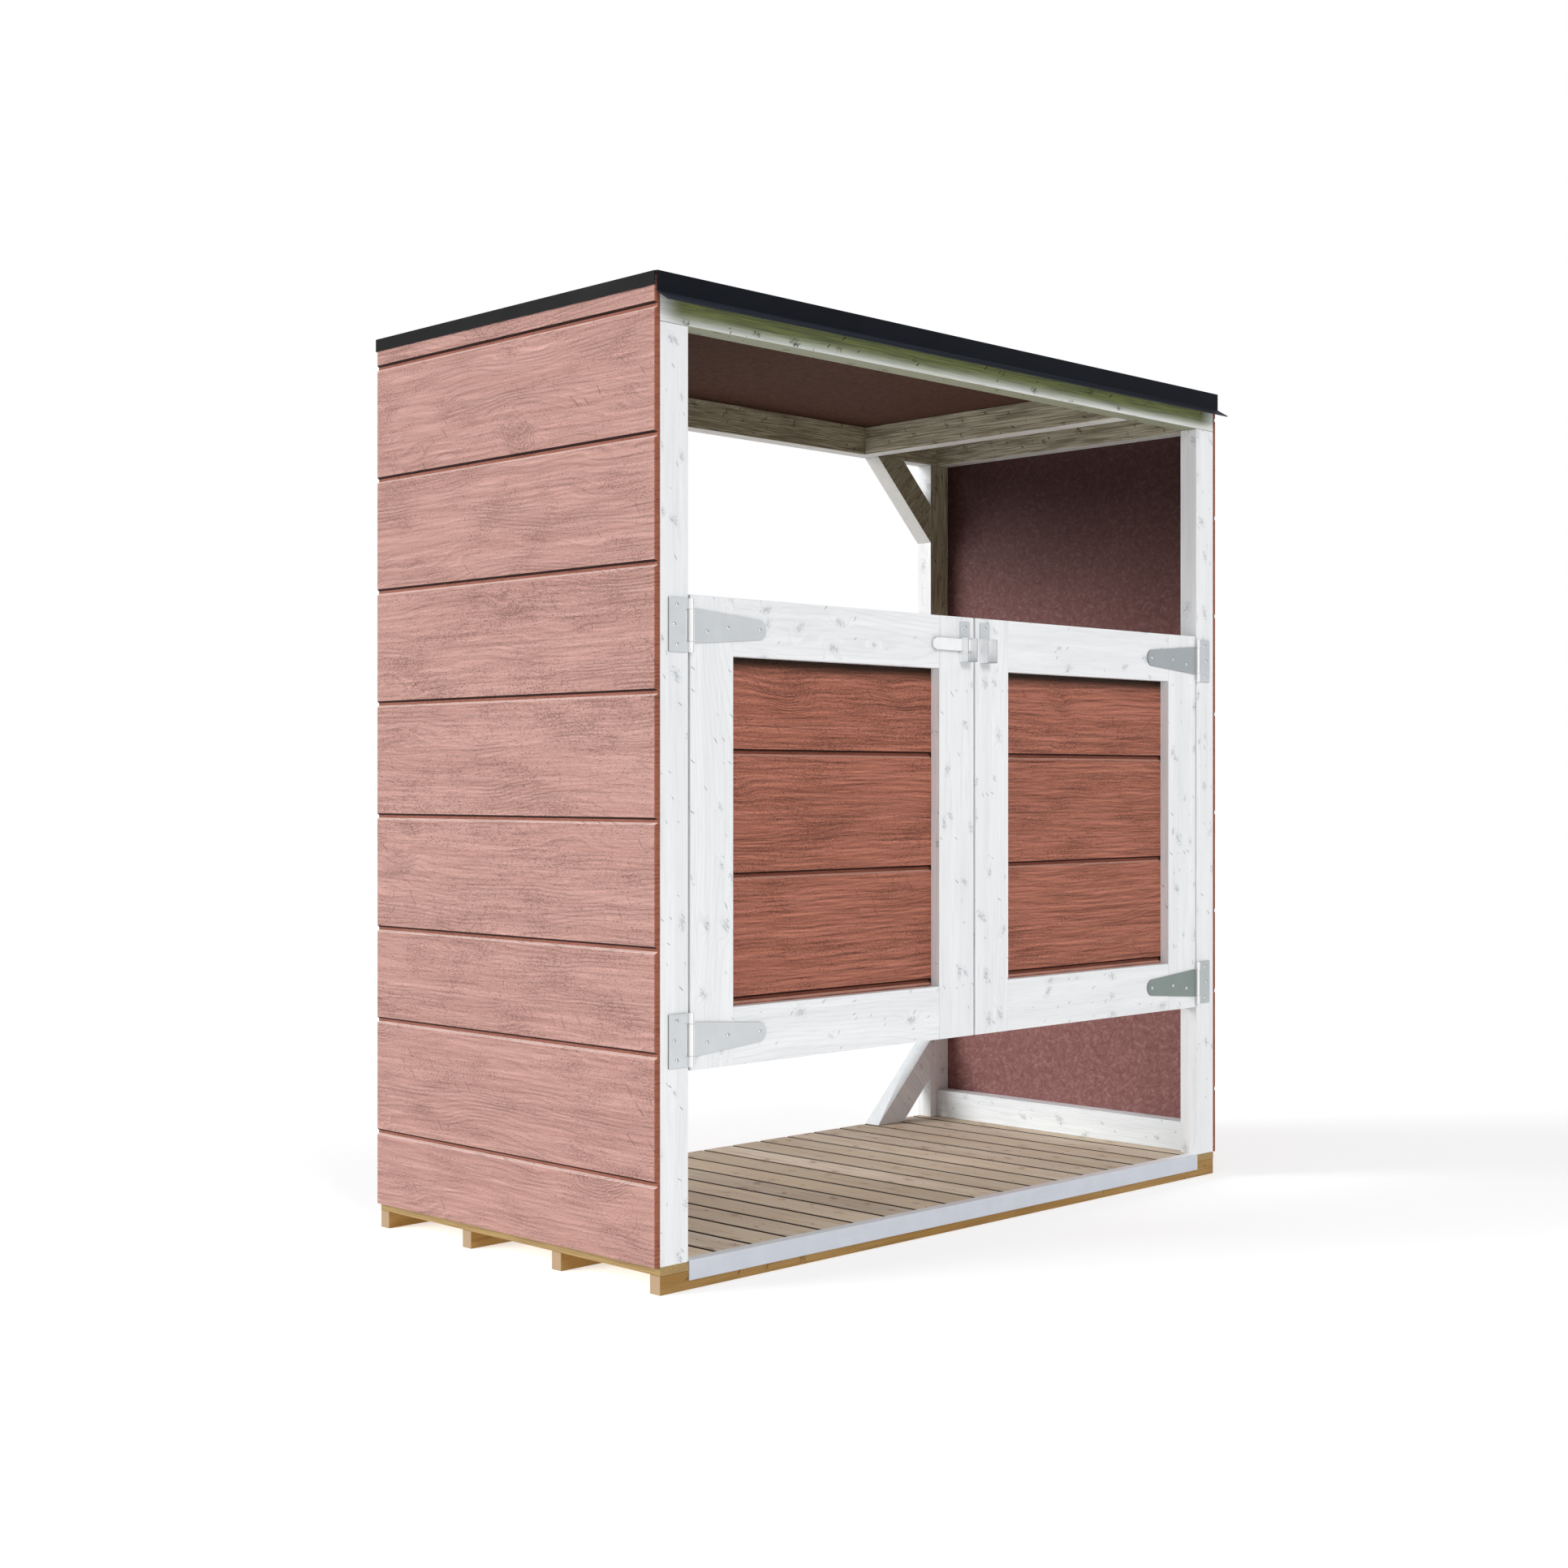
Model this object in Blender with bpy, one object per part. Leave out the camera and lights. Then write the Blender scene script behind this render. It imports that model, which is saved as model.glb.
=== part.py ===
"""Bin store shelter: an open-backed timber frame on a boarded floor, with grooved
side sheets, a flat felted roof and a pair of half-height doors on T hinges.

Metres, +Z up. The front faces -Y and left is -X. The origin is under the middle
of the shelter, at the level of the ground.
"""

import math

import bmesh
import bpy
from mathutils import Vector

for old_object in list(bpy.data.objects):
    bpy.data.objects.remove(old_object)

# ---------------------------------------------------------------- driving sizes
WIDTH = 1.884            # over the outer faces of the side sheets
DEPTH = 0.924            # over the front and rear posts
GAP = 0.0003             # left between two pieces that touch

JOIST_WIDTH = 0.030
JOIST_HEIGHT = 0.037
JOIST_COUNT = 4
DECK_THICKNESS = 0.017

TIMBER_NARROW = 0.048    # the frame is planed timber of one size
TIMBER_BROAD = 0.073
POST_HEIGHT = 1.809
BRACE_LEG = 0.2154       # along the post and along the beam or floor
CROSS_BEAM_X = 0.611     # middle of the one beam between the end beams

SHEET_THICKNESS = 0.012
GROOVE_MOUTH = 0.014
GROOVE_CHAMFER = 0.004
GROOVE_DEPTH = 0.006
BOARD_PITCH = 0.2466     # height of one moulded board of a sheet
FIRST_BOARD = 0.165      # the lowest board is ripped to start on a whole pitch
JOINT_BOARD = 0.2015     # the board under which two sheets meet is narrower
EDGE_CHAMFER = 0.003     # on the upright outer edges of the side sheets

ROOF_BOARD_THICKNESS = 0.015
COVERING_THICKNESS = 0.004
TRIM_THICKNESS = 0.0022
TRIM_DROP = 0.027        # height of a trim's face below the roof's top
TRIM_FLANGE = 0.025      # width of a trim's top flange
DRIP_OFFSET = 0.006      # front trim's face stands off the beam
DRIP_FACE = 0.040
LIP_REACH = 0.030
LIP_DROP = 0.018

THRESHOLD_THICKNESS = 0.003
THRESHOLD_FACE = 0.039
THRESHOLD_FLANGE = 0.025

DOOR_BOTTOM = 0.423
DOOR_HEIGHT = 0.922
DOOR_FRAME_THICKNESS = 0.024
DOOR_MEMBER_WIDTH = 0.115
DOOR_SIDE_GAP = 0.005
DOOR_MEETING_GAP = 0.006
DOOR_FIRST_BOARD = 0.132

HINGE_INSET = 0.0605     # hinge centre from the door's top and bottom
PLATE_WIDTH = 0.044
PLATE_HEIGHT = 0.104
PLATE_CLEAR = 0.0115     # plate's edge from the pin's axis, clear of the strap
STRAP_LENGTH = 0.207
STRAP_ROOT_HEIGHT = 0.0675
STRAP_TIP_HEIGHT = 0.039
STRAP_KNUCKLE = 0.062
KNUCKLE_CLEARANCE = 0.0007
HINGE_METAL = 0.0025
KNUCKLE_RADIUS = 0.006
PIN_RADIUS = 0.003
PIN_CLEARANCE = 0.0006
ROUND_SIDES = 24

BRACKET_WIDTH = 0.032
BRACKET_HEIGHT = 0.088
BRACKET_FROM_MEETING = 0.015
BRACKET_BELOW_TOP = 0.011
BRACKET_METAL = 0.002
BRACKET_EAR_DEPTH = 0.022
BRACKET_EAR_HEIGHT = 0.053
BAR_LENGTH = 0.141
BAR_HEIGHT = 0.026
BAR_THICKNESS = 0.004
BAR_CLEARANCE = 0.001    # round the bar in the brackets' slots
BAR_REST_SETBACK = 0.0035  # bar's end from the middle of the doors, drawn back

# ---------------------------------------------------------------- derived sizes
TRIM_PROUD = GAP + TRIM_THICKNESS
FRONT_OVERHANG = DRIP_OFFSET + LIP_REACH
FRONT_Y = (FRONT_OVERHANG - DEPTH - TRIM_PROUD) / 2
BACK_Y = FRONT_Y + DEPTH

OUTER_X = WIDTH / 2
FRAME_X = OUTER_X - SHEET_THICKNESS
POST_INNER_X = FRAME_X - TIMBER_BROAD
SIDE_INNER_X = FRAME_X - TIMBER_NARROW

DECK_TOP = JOIST_HEIGHT + DECK_THICKNESS
BEAM_BOTTOM = DECK_TOP + POST_HEIGHT
BEAM_TOP = BEAM_BOTTOM + TIMBER_BROAD
ROOF_BOARD_TOP = BEAM_TOP + ROOF_BOARD_THICKNESS
COVERING_TOP = ROOF_BOARD_TOP + COVERING_THICKNESS
TRIM_TOP = COVERING_TOP + GAP + TRIM_THICKNESS

DOOR_TOP = DOOR_BOTTOM + DOOR_HEIGHT
DOOR_OUTER_X = POST_INNER_X - DOOR_SIDE_GAP
DOOR_INNER_X = DOOR_MEETING_GAP / 2
DOOR_BACK_Y = FRONT_Y + DOOR_FRAME_THICKNESS
PIN_X = POST_INNER_X - DOOR_SIDE_GAP / 2
PIN_Y = FRONT_Y - GAP - KNUCKLE_RADIUS
HINGE_HEIGHTS = {"upper": DOOR_TOP - HINGE_INSET, "lower": DOOR_BOTTOM + HINGE_INSET}

BRACKET_TOP = DOOR_TOP - BRACKET_BELOW_TOP
BRACKET_BOTTOM = BRACKET_TOP - BRACKET_HEIGHT
EAR_TOP = BRACKET_BOTTOM + BRACKET_EAR_HEIGHT
BRACKET_FACE_Y = FRONT_Y - GAP - BRACKET_METAL
SLOT_TOP = EAR_TOP - BRACKET_METAL
SLOT_BOTTOM = SLOT_TOP - BAR_HEIGHT - 2 * BAR_CLEARANCE
SLOT_FRONT_Y = BRACKET_FACE_Y - BAR_THICKNESS - 2 * BAR_CLEARANCE
BAR_Z = SLOT_BOTTOM + BAR_CLEARANCE + BAR_HEIGHT / 2

# ---------------------------------------------------------------- surface looks
LOOKS = {
    "honey_timber": ((0.55, 0.38, 0.20), 0.75, 0.0),
    "deck_timber": ((0.58, 0.43, 0.30), 0.75, 0.0),
    "white_timber": ((0.80, 0.81, 0.82), 0.60, 0.0),
    "red_sheet": ((0.42, 0.14, 0.10), 0.65, 0.0),
    "ceiling_board": ((0.30, 0.12, 0.11), 0.75, 0.0),
    "roofing": ((0.04, 0.04, 0.045), 0.95, 0.0),
    "black_trim": ((0.012, 0.013, 0.017), 0.40, 0.0),
    "aluminium": ((0.72, 0.74, 0.78), 0.35, 1.0),
    "galvanised": ((0.62, 0.64, 0.65), 0.40, 1.0),
}


def surface(name, look):
    """A Principled BSDF material for one node."""
    colour, roughness, metallic = LOOKS[look]
    material = bpy.data.materials.new(name)
    material.use_nodes = True
    shader = material.node_tree.nodes["Principled BSDF"]
    shader.inputs["Base Color"].default_value = (*colour, 1.0)
    shader.inputs["Roughness"].default_value = roughness
    shader.inputs["Metallic"].default_value = metallic
    material.diffuse_color = (*colour, 1.0)
    return material


def add_node(name, solid, look, pivot=(0.0, 0.0, 0.0), is_round=False):
    """Turn a bmesh in world coordinates into a named node whose origin is pivot."""
    bmesh.ops.recalc_face_normals(solid, faces=solid.faces)
    bmesh.ops.translate(solid, verts=solid.verts, vec=-Vector(pivot))
    mesh = bpy.data.meshes.new(name)
    solid.to_mesh(mesh)
    solid.free()
    mesh.materials.append(surface(name, look))
    if is_round:
        mesh.shade_smooth()
        mesh.set_sharp_from_angle(angle=math.radians(35))
    node = bpy.data.objects.new(name, mesh)
    node.location = pivot
    bpy.context.collection.objects.link(node)
    return node


# ---------------------------------------------------------------- solid makers
def prism(outline, axis, start, end):
    """A solid with the outline as its section, from start to end along an axis.

    The outline's points are (y, z) along X, (x, z) along Y and (x, y) along Z.
    """
    place = {
        "x": lambda u, v, w: (w, u, v),
        "y": lambda u, v, w: (u, w, v),
        "z": lambda u, v, w: (u, v, w),
    }[axis]
    solid = bmesh.new()
    base = [solid.verts.new(place(u, v, start)) for u, v in outline]
    face = solid.faces.new(base)
    swept = bmesh.ops.extrude_face_region(solid, geom=[face])
    top = [item for item in swept["geom"] if isinstance(item, bmesh.types.BMVert)]
    bmesh.ops.translate(solid, verts=top, vec=place(0.0, 0.0, end - start))
    bmesh.ops.recalc_face_normals(solid, faces=solid.faces)
    return solid


def block(low, high):
    """A plain rectangular solid between two opposite corners."""
    corners = [(low[0], low[2]), (high[0], low[2]), (high[0], high[2]), (low[0], high[2])]
    return prism(corners, "y", low[1], high[1])


def turned(profile, x, y):
    """A closed solid turned about the upright axis through (x, y)."""
    solid = bmesh.new()
    points = [solid.verts.new((x + radius, y, z)) for radius, z in profile]
    edges = [solid.edges.new(pair) for pair in zip(points, points[1:] + points[:1])]
    bmesh.ops.spin(
        solid,
        geom=points + edges,
        cent=(x, y, 0.0),
        axis=(0.0, 0.0, 1.0),
        dvec=(0.0, 0.0, 0.0),
        angle=math.tau,
        steps=ROUND_SIDES,
        use_merge=True,
    )
    bmesh.ops.remove_doubles(solid, verts=solid.verts, dist=0.00001)
    bmesh.ops.recalc_face_normals(solid, faces=solid.faces)
    return solid


def combine(base, others, operation):
    """One solid from a base and its additions or cuts, by exact Booleans."""
    meshes = []
    for solid in [base, *others]:
        mesh = bpy.data.meshes.new("blank")
        solid.to_mesh(mesh)
        solid.free()
        meshes.append(mesh)
    blanks = [bpy.data.objects.new("blank", mesh) for mesh in meshes]
    for blank in blanks:
        bpy.context.collection.objects.link(blank)
    for tool in blanks[1:]:
        step = blanks[0].modifiers.new(operation, "BOOLEAN")
        step.operation = operation
        step.solver = "EXACT"
        step.object = tool
    bpy.context.view_layer.update()
    view = bpy.context.evaluated_depsgraph_get()
    joined = bmesh.new()
    joined.from_mesh(blanks[0].evaluated_get(view).to_mesh())
    for blank in blanks:
        bpy.data.objects.remove(blank)
    for mesh in meshes:
        bpy.data.meshes.remove(mesh)
    bmesh.ops.dissolve_limit(
        joined, angle_limit=math.radians(0.5), verts=joined.verts, edges=joined.edges
    )
    return joined


def ribbon(path, thickness):
    """The outline of bent sheet metal whose left-hand side follows the path."""
    points = [Vector(point) for point in path]
    turns = [(after - before).normalized() for before, after in zip(points, points[1:])]
    rights = [Vector((along.y, -along.x)) for along in turns]
    inner = [points[0] + rights[0] * thickness]
    for point, before, after in zip(points[1:-1], rights, rights[1:]):
        inner.append(point + (before + after) * thickness / (1 + before.dot(after)))
    inner.append(points[-1] + rights[-1] * thickness)
    return [tuple(point) for point in points + inner[::-1]]


def mirrored(outline):
    """The same outline on the other side of the shelter's middle."""
    return [(-u, v) for u, v in outline]


# ---------------------------------------------------------------- floor
def build_floor():
    names = ["front_joist", "middle_joist_front", "middle_joist_rear", "rear_joist"]
    pitch = (DEPTH - JOIST_WIDTH) / (JOIST_COUNT - 1)
    for index, name in enumerate(names):
        y = FRONT_Y + index * pitch
        joist = block((-FRAME_X, y, 0.0), (FRAME_X, y + JOIST_WIDTH, JOIST_HEIGHT))
        add_node(name, joist, "honey_timber")
    deck = block((-FRAME_X, FRONT_Y, JOIST_HEIGHT + GAP), (FRAME_X, BACK_Y, DECK_TOP))
    add_node("floor_deck", deck, "deck_timber")


def build_threshold():
    face_y = FRONT_Y - GAP - THRESHOLD_THICKNESS
    top = DECK_TOP + GAP + THRESHOLD_THICKNESS
    path = [(face_y, top - THRESHOLD_FACE), (face_y, top), (face_y + THRESHOLD_FLANGE, top)]
    reach = POST_INNER_X - GAP
    strip = prism(ribbon(path, THRESHOLD_THICKNESS), "x", -reach, reach)
    add_node("threshold_strip", strip, "aluminium")


# ---------------------------------------------------------------- timber frame
def build_posts():
    rows = {"front": FRONT_Y, "rear": BACK_Y - TIMBER_NARROW}
    for side, sign in (("left", -1), ("right", 1)):
        outer = sign * (FRAME_X - GAP)
        inner = sign * POST_INNER_X
        for row, y in rows.items():
            low = (min(outer, inner), y, DECK_TOP + GAP)
            high = (max(outer, inner), y + TIMBER_NARROW, BEAM_BOTTOM - GAP)
            add_node(f"{side}_{row}_post", block(low, high), "white_timber")


def build_roof_frame():
    reach = FRAME_X - GAP
    for name, y in (("front_beam", FRONT_Y), ("rear_beam", BACK_Y - TIMBER_NARROW)):
        beam = block((-reach, y, BEAM_BOTTOM), (reach, y + TIMBER_NARROW, BEAM_TOP))
        add_node(name, beam, "white_timber")
    middle = FRAME_X - GAP - TIMBER_NARROW / 2
    places = {"left_end_beam": -middle, "right_end_beam": middle, "cross_beam": CROSS_BEAM_X}
    for name, x in places.items():
        add_node(name, side_timber(x, BEAM_BOTTOM), "white_timber")


def side_timber(x, bottom):
    """A timber on edge from the front timbers to the rear ones."""
    low = (x - TIMBER_NARROW / 2, FRONT_Y + TIMBER_NARROW + GAP, bottom)
    high = (x + TIMBER_NARROW / 2, BACK_Y - TIMBER_NARROW - GAP, bottom + TIMBER_BROAD)
    return block(low, high)


def build_bottom_rails():
    middle = FRAME_X - GAP - TIMBER_NARROW / 2
    for side, sign in (("left", -1), ("right", 1)):
        rail = side_timber(sign * middle, DECK_TOP + GAP)
        add_node(f"{side}_bottom_rail", rail, "white_timber")


def build_braces():
    cut = TIMBER_BROAD * math.sqrt(2)
    ends = {"top": (BEAM_BOTTOM - GAP, -1), "foot": (DECK_TOP + GAP, 1)}
    for place, (level, away) in ends.items():
        post_x = POST_INNER_X - GAP
        outline = [
            (post_x, level + away * BRACE_LEG),
            (post_x, level + away * (BRACE_LEG - cut)),
            (post_x - BRACE_LEG + cut, level),
            (post_x - BRACE_LEG, level),
        ]
        for side, section in (("left", mirrored(outline)), ("right", outline)):
            brace = prism(section, "y", BACK_Y - TIMBER_NARROW, BACK_Y)
            add_node(f"{side}_rear_{place}_brace", brace, "white_timber")


# ---------------------------------------------------------------- moulded sheets
def groove_tops(bottom, top, first_board, joint_after=None):
    """Heights of the grooves' upper edges, from the lowest to the highest."""
    tops = [bottom + first_board]
    while True:
        board = JOINT_BOARD if len(tops) == joint_after else BOARD_PITCH
        if tops[-1] + board > top - GROOVE_MOUTH:
            return tops
        tops.append(tops[-1] + board)


def moulded_section(bottom, top, tops, face, back):
    """A sheet's section: grooves in its face, at the depths face and back."""
    inward = 1 if back > face else -1
    floor = face + inward * GROOVE_DEPTH
    outline = [(back, top), (back, bottom), (face, bottom)]
    for height in tops:
        outline.append((face, height - GROOVE_MOUTH))
        outline.append((floor, height - GROOVE_MOUTH + GROOVE_CHAMFER))
        outline.append((floor, height - GROOVE_CHAMFER))
        outline.append((face, height))
    outline.append((face, top))
    return outline


def edge_cutter(sign, edge_y, inward):
    """A three-sided rod that takes the chamfer off one upright outer edge."""
    margin = EDGE_CHAMFER / 2
    reach = EDGE_CHAMFER + margin
    outside_x = sign * (OUTER_X + margin)
    outline = [
        (sign * (OUTER_X - reach), edge_y - inward * margin),
        (outside_x, edge_y + inward * reach),
        (outside_x, edge_y - inward * margin),
    ]
    return prism(outline, "z", DECK_TOP - margin, ROOF_BOARD_TOP + margin)


def build_walls():
    tops = groove_tops(DECK_TOP, ROOF_BOARD_TOP, FIRST_BOARD, joint_after=2)
    for side, sign in (("left", -1), ("right", 1)):
        section = moulded_section(
            DECK_TOP, ROOF_BOARD_TOP, tops, sign * OUTER_X, sign * FRAME_X
        )
        sheet = prism(section, "y", FRONT_Y, BACK_Y)
        cutters = [edge_cutter(sign, FRONT_Y, 1), edge_cutter(sign, BACK_Y, -1)]
        wall = combine(sheet, cutters, "DIFFERENCE")
        add_node(f"{side}_wall_panel", wall, "red_sheet")


# ---------------------------------------------------------------- roof
def build_roof():
    reach = FRAME_X - GAP
    board = block((-reach, FRONT_Y, BEAM_TOP + GAP), (reach, BACK_Y, ROOF_BOARD_TOP))
    add_node("roof_board", board, "ceiling_board")
    low = (-OUTER_X, FRONT_Y, ROOF_BOARD_TOP + GAP)
    covering = block(low, (OUTER_X, BACK_Y, COVERING_TOP))
    add_node("roof_covering", covering, "roofing")


def build_side_trims():
    face_x = OUTER_X + TRIM_PROUD
    path = [(-face_x, TRIM_TOP - TRIM_DROP), (-face_x, TRIM_TOP), (-face_x + TRIM_FLANGE, TRIM_TOP)]
    outline = ribbon(path, TRIM_THICKNESS)
    for side, section in (("left", outline), ("right", mirrored(outline))):
        trim = prism(section, "y", FRONT_Y, BACK_Y)
        add_node(f"{side}_roof_trim", trim, "black_trim")


def notched_trim(outline, cut_from, cut_to):
    """A trim over the full width, its top flange cut short of the side trims."""
    inner = OUTER_X + TRIM_PROUD - TRIM_FLANGE - GAP
    outer = OUTER_X + TRIM_FLANGE
    bottom = COVERING_TOP - TRIM_THICKNESS
    top = TRIM_TOP + TRIM_THICKNESS
    cuts = []
    for start, end in ((-outer, -inner), (inner, outer)):
        cuts.append(block((start, cut_from, bottom), (end, cut_to, top)))
    return combine(prism(outline, "x", -OUTER_X, OUTER_X), cuts, "DIFFERENCE")


def build_front_and_rear_trims():
    face_y = FRONT_Y - DRIP_OFFSET
    fold_z = TRIM_TOP - DRIP_FACE
    drip_path = [
        (face_y - LIP_REACH, fold_z - LIP_DROP),
        (face_y, fold_z),
        (face_y, TRIM_TOP),
        (face_y + TRIM_FLANGE + DRIP_OFFSET, TRIM_TOP),
    ]
    drip = ribbon(drip_path, TRIM_THICKNESS)
    front = notched_trim(drip, FRONT_Y - GAP, FRONT_Y + 2 * TRIM_FLANGE)
    add_node("front_drip_edge", front, "black_trim")
    face_y = BACK_Y + TRIM_PROUD
    rear_path = [
        (face_y - TRIM_FLANGE, TRIM_TOP),
        (face_y, TRIM_TOP),
        (face_y, TRIM_TOP - TRIM_DROP),
    ]
    rear = ribbon(rear_path, TRIM_THICKNESS)
    trim = notched_trim(rear, BACK_Y - 2 * TRIM_FLANGE, BACK_Y + GAP)
    add_node("rear_roof_trim", trim, "black_trim")


# ---------------------------------------------------------------- doors
def door_pivot(sign):
    """The hinge line of the door on one side, at the door's foot."""
    return (sign * PIN_X, PIN_Y, DOOR_BOTTOM)


def build_door(side, sign):
    pivot = door_pivot(sign)
    low_x, high_x = sorted((sign * DOOR_OUTER_X, sign * DOOR_INNER_X))
    stiles = {
        "hinge_stile": sorted((sign * DOOR_OUTER_X, sign * (DOOR_OUTER_X - DOOR_MEMBER_WIDTH))),
        "meeting_stile": sorted((sign * DOOR_INNER_X, sign * (DOOR_INNER_X + DOOR_MEMBER_WIDTH))),
    }
    for part, (start, end) in stiles.items():
        stile = block((start, FRONT_Y, DOOR_BOTTOM), (end, DOOR_BACK_Y, DOOR_TOP))
        add_node(f"{side}_door_{part}", stile, "white_timber", pivot)
    start = low_x + DOOR_MEMBER_WIDTH + GAP
    end = high_x - DOOR_MEMBER_WIDTH - GAP
    rails = {"bottom_rail": DOOR_BOTTOM, "top_rail": DOOR_TOP - DOOR_MEMBER_WIDTH}
    for part, z in rails.items():
        rail = block((start, FRONT_Y, z), (end, DOOR_BACK_Y, z + DOOR_MEMBER_WIDTH))
        add_node(f"{side}_door_{part}", rail, "white_timber", pivot)
    tops = groove_tops(DOOR_BOTTOM, DOOR_TOP - DOOR_MEMBER_WIDTH, DOOR_FIRST_BOARD)
    face = DOOR_BACK_Y + GAP
    section = moulded_section(DOOR_BOTTOM, DOOR_TOP, tops, face, face + SHEET_THICKNESS)
    add_node(f"{side}_door_panel", prism(section, "x", low_x, high_x), "red_sheet", pivot)


# ---------------------------------------------------------------- hinges
def hinge_plate(sign, z):
    """The fixed plate: a leaf on the post, two knuckles and the pin."""
    knuckle = (PLATE_HEIGHT - STRAP_KNUCKLE) / 2 - KNUCKLE_CLEARANCE
    low = z - PLATE_HEIGHT / 2
    high = z + PLATE_HEIGHT / 2
    inner = sign * (PIN_X + PLATE_CLEAR)
    outer = sign * (PIN_X + PLATE_CLEAR + PLATE_WIDTH)
    neck = sign * (PIN_X + PIN_RADIUS / 2)
    leaf = [
        (outer, low),
        (neck, low),
        (neck, low + knuckle),
        (inner, low + knuckle),
        (inner, high - knuckle),
        (neck, high - knuckle),
        (neck, high),
        (outer, high),
    ]
    back = FRONT_Y - GAP
    barrel = [
        (0.0, low),
        (KNUCKLE_RADIUS, low),
        (KNUCKLE_RADIUS, low + knuckle),
        (PIN_RADIUS, low + knuckle),
        (PIN_RADIUS, high - knuckle),
        (KNUCKLE_RADIUS, high - knuckle),
        (KNUCKLE_RADIUS, high),
        (0.0, high),
    ]
    plate = prism(leaf, "y", back - HINGE_METAL, back)
    return combine(plate, [turned(barrel, sign * PIN_X, PIN_Y)], "UNION")


def strap_outline(sign, z):
    """The strap's face from its knuckle to its round tip."""
    root = KNUCKLE_RADIUS + 3 * PIN_CLEARANCE
    tip = STRAP_TIP_HEIGHT / 2
    centre = STRAP_LENGTH - tip
    points = [
        (PIN_RADIUS, -STRAP_KNUCKLE / 2),
        (root, -STRAP_KNUCKLE / 2),
        (root, -STRAP_ROOT_HEIGHT / 2),
    ]
    for step in range(ROUND_SIDES // 2 + 1):
        angle = math.pi * (step / (ROUND_SIDES // 2) - 0.5)
        points.append((centre + tip * math.cos(angle), tip * math.sin(angle)))
    points += [
        (root, STRAP_ROOT_HEIGHT / 2),
        (root, STRAP_KNUCKLE / 2),
        (PIN_RADIUS, STRAP_KNUCKLE / 2),
    ]
    return [(sign * (PIN_X - along), z + up) for along, up in points]


def hinge_strap(sign, z):
    """The swinging strap: a tapered leaf with a bored knuckle."""
    bore = PIN_RADIUS + PIN_CLEARANCE
    half = STRAP_KNUCKLE / 2
    back = FRONT_Y - GAP
    leaf = prism(strap_outline(sign, z), "y", back - HINGE_METAL, back)
    tube = [
        (bore, z - half),
        (KNUCKLE_RADIUS, z - half),
        (KNUCKLE_RADIUS, z + half),
        (bore, z + half),
    ]
    return combine(leaf, [turned(tube, sign * PIN_X, PIN_Y)], "UNION")


def build_hinges(side, sign):
    for place, z in HINGE_HEIGHTS.items():
        plate = hinge_plate(sign, z)
        add_node(f"{side}_{place}_hinge_plate", plate, "galvanised", is_round=True)
        strap = hinge_strap(sign, z)
        pivot = (sign * PIN_X, PIN_Y, z)
        add_node(f"{side}_{place}_hinge_strap", strap, "galvanised", pivot, is_round=True)


# ---------------------------------------------------------------- latch
def latch_bracket(sign):
    """A back plate with two slotted ears and a shelf between their feet."""
    near = BRACKET_FROM_MEETING + DOOR_INNER_X
    start, end = sorted((sign * near, sign * (near + BRACKET_WIDTH)))
    face = BRACKET_FACE_Y
    tip = face - BRACKET_EAR_DEPTH
    inside = face + BRACKET_METAL / 2
    plate = block((start, face, BRACKET_BOTTOM), (end, face + BRACKET_METAL, BRACKET_TOP))
    ear = [
        (inside, BRACKET_BOTTOM),
        (tip, BRACKET_BOTTOM),
        (tip, EAR_TOP - BRACKET_METAL),
        (tip + BRACKET_METAL, EAR_TOP),
        (inside, EAR_TOP),
        (inside, SLOT_TOP),
        (SLOT_FRONT_Y, SLOT_TOP),
        (SLOT_FRONT_Y, SLOT_BOTTOM),
        (inside, SLOT_BOTTOM),
    ]
    additions = [
        prism(ear, "x", start, start + BRACKET_METAL),
        prism(ear, "x", end - BRACKET_METAL, end),
        block((start, tip, BRACKET_BOTTOM), (end, inside, BRACKET_BOTTOM + BRACKET_METAL)),
    ]
    return combine(plate, additions, "UNION")


def latch_bar():
    """The flat bar with round ends that joins the two doors."""
    radius = BAR_HEIGHT / 2
    right = -BAR_REST_SETBACK - radius
    left = right - BAR_LENGTH + 2 * radius
    outline = []
    for centre, start in ((right, -0.5), (left, 0.5)):
        for step in range(ROUND_SIDES // 2 + 1):
            angle = math.pi * (start + step / (ROUND_SIDES // 2))
            point = (centre + radius * math.cos(angle), BAR_Z + radius * math.sin(angle))
            outline.append(point)
    back = BRACKET_FACE_Y - BAR_CLEARANCE
    return prism(outline, "y", back - BAR_THICKNESS, back)


def build_latch():
    for side, sign in (("left", -1), ("right", 1)):
        bracket = latch_bracket(sign)
        add_node(f"{side}_latch_bracket", bracket, "galvanised", door_pivot(sign))
    middle_y = BRACKET_FACE_Y - BAR_CLEARANCE - BAR_THICKNESS / 2
    pivot = (-BAR_REST_SETBACK - BAR_LENGTH / 2, middle_y, BAR_Z)
    add_node("latch_bar", latch_bar(), "galvanised", pivot, is_round=True)


build_floor()
build_threshold()
build_posts()
build_roof_frame()
build_bottom_rails()
build_braces()
build_walls()
build_roof()
build_side_trims()
build_front_and_rear_trims()
for door_side, door_sign in (("left", -1), ("right", 1)):
    build_door(door_side, door_sign)
    build_hinges(door_side, door_sign)
build_latch()
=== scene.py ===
"""Looks of the bin store shelter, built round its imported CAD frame.

Every CAD node gets a procedural material, the deck is rebuilt board by board,
and the hinges and latch get their screws. Lengths are in metres, +Z is up and
the doors face -Y.
"""
import math
import random

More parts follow.
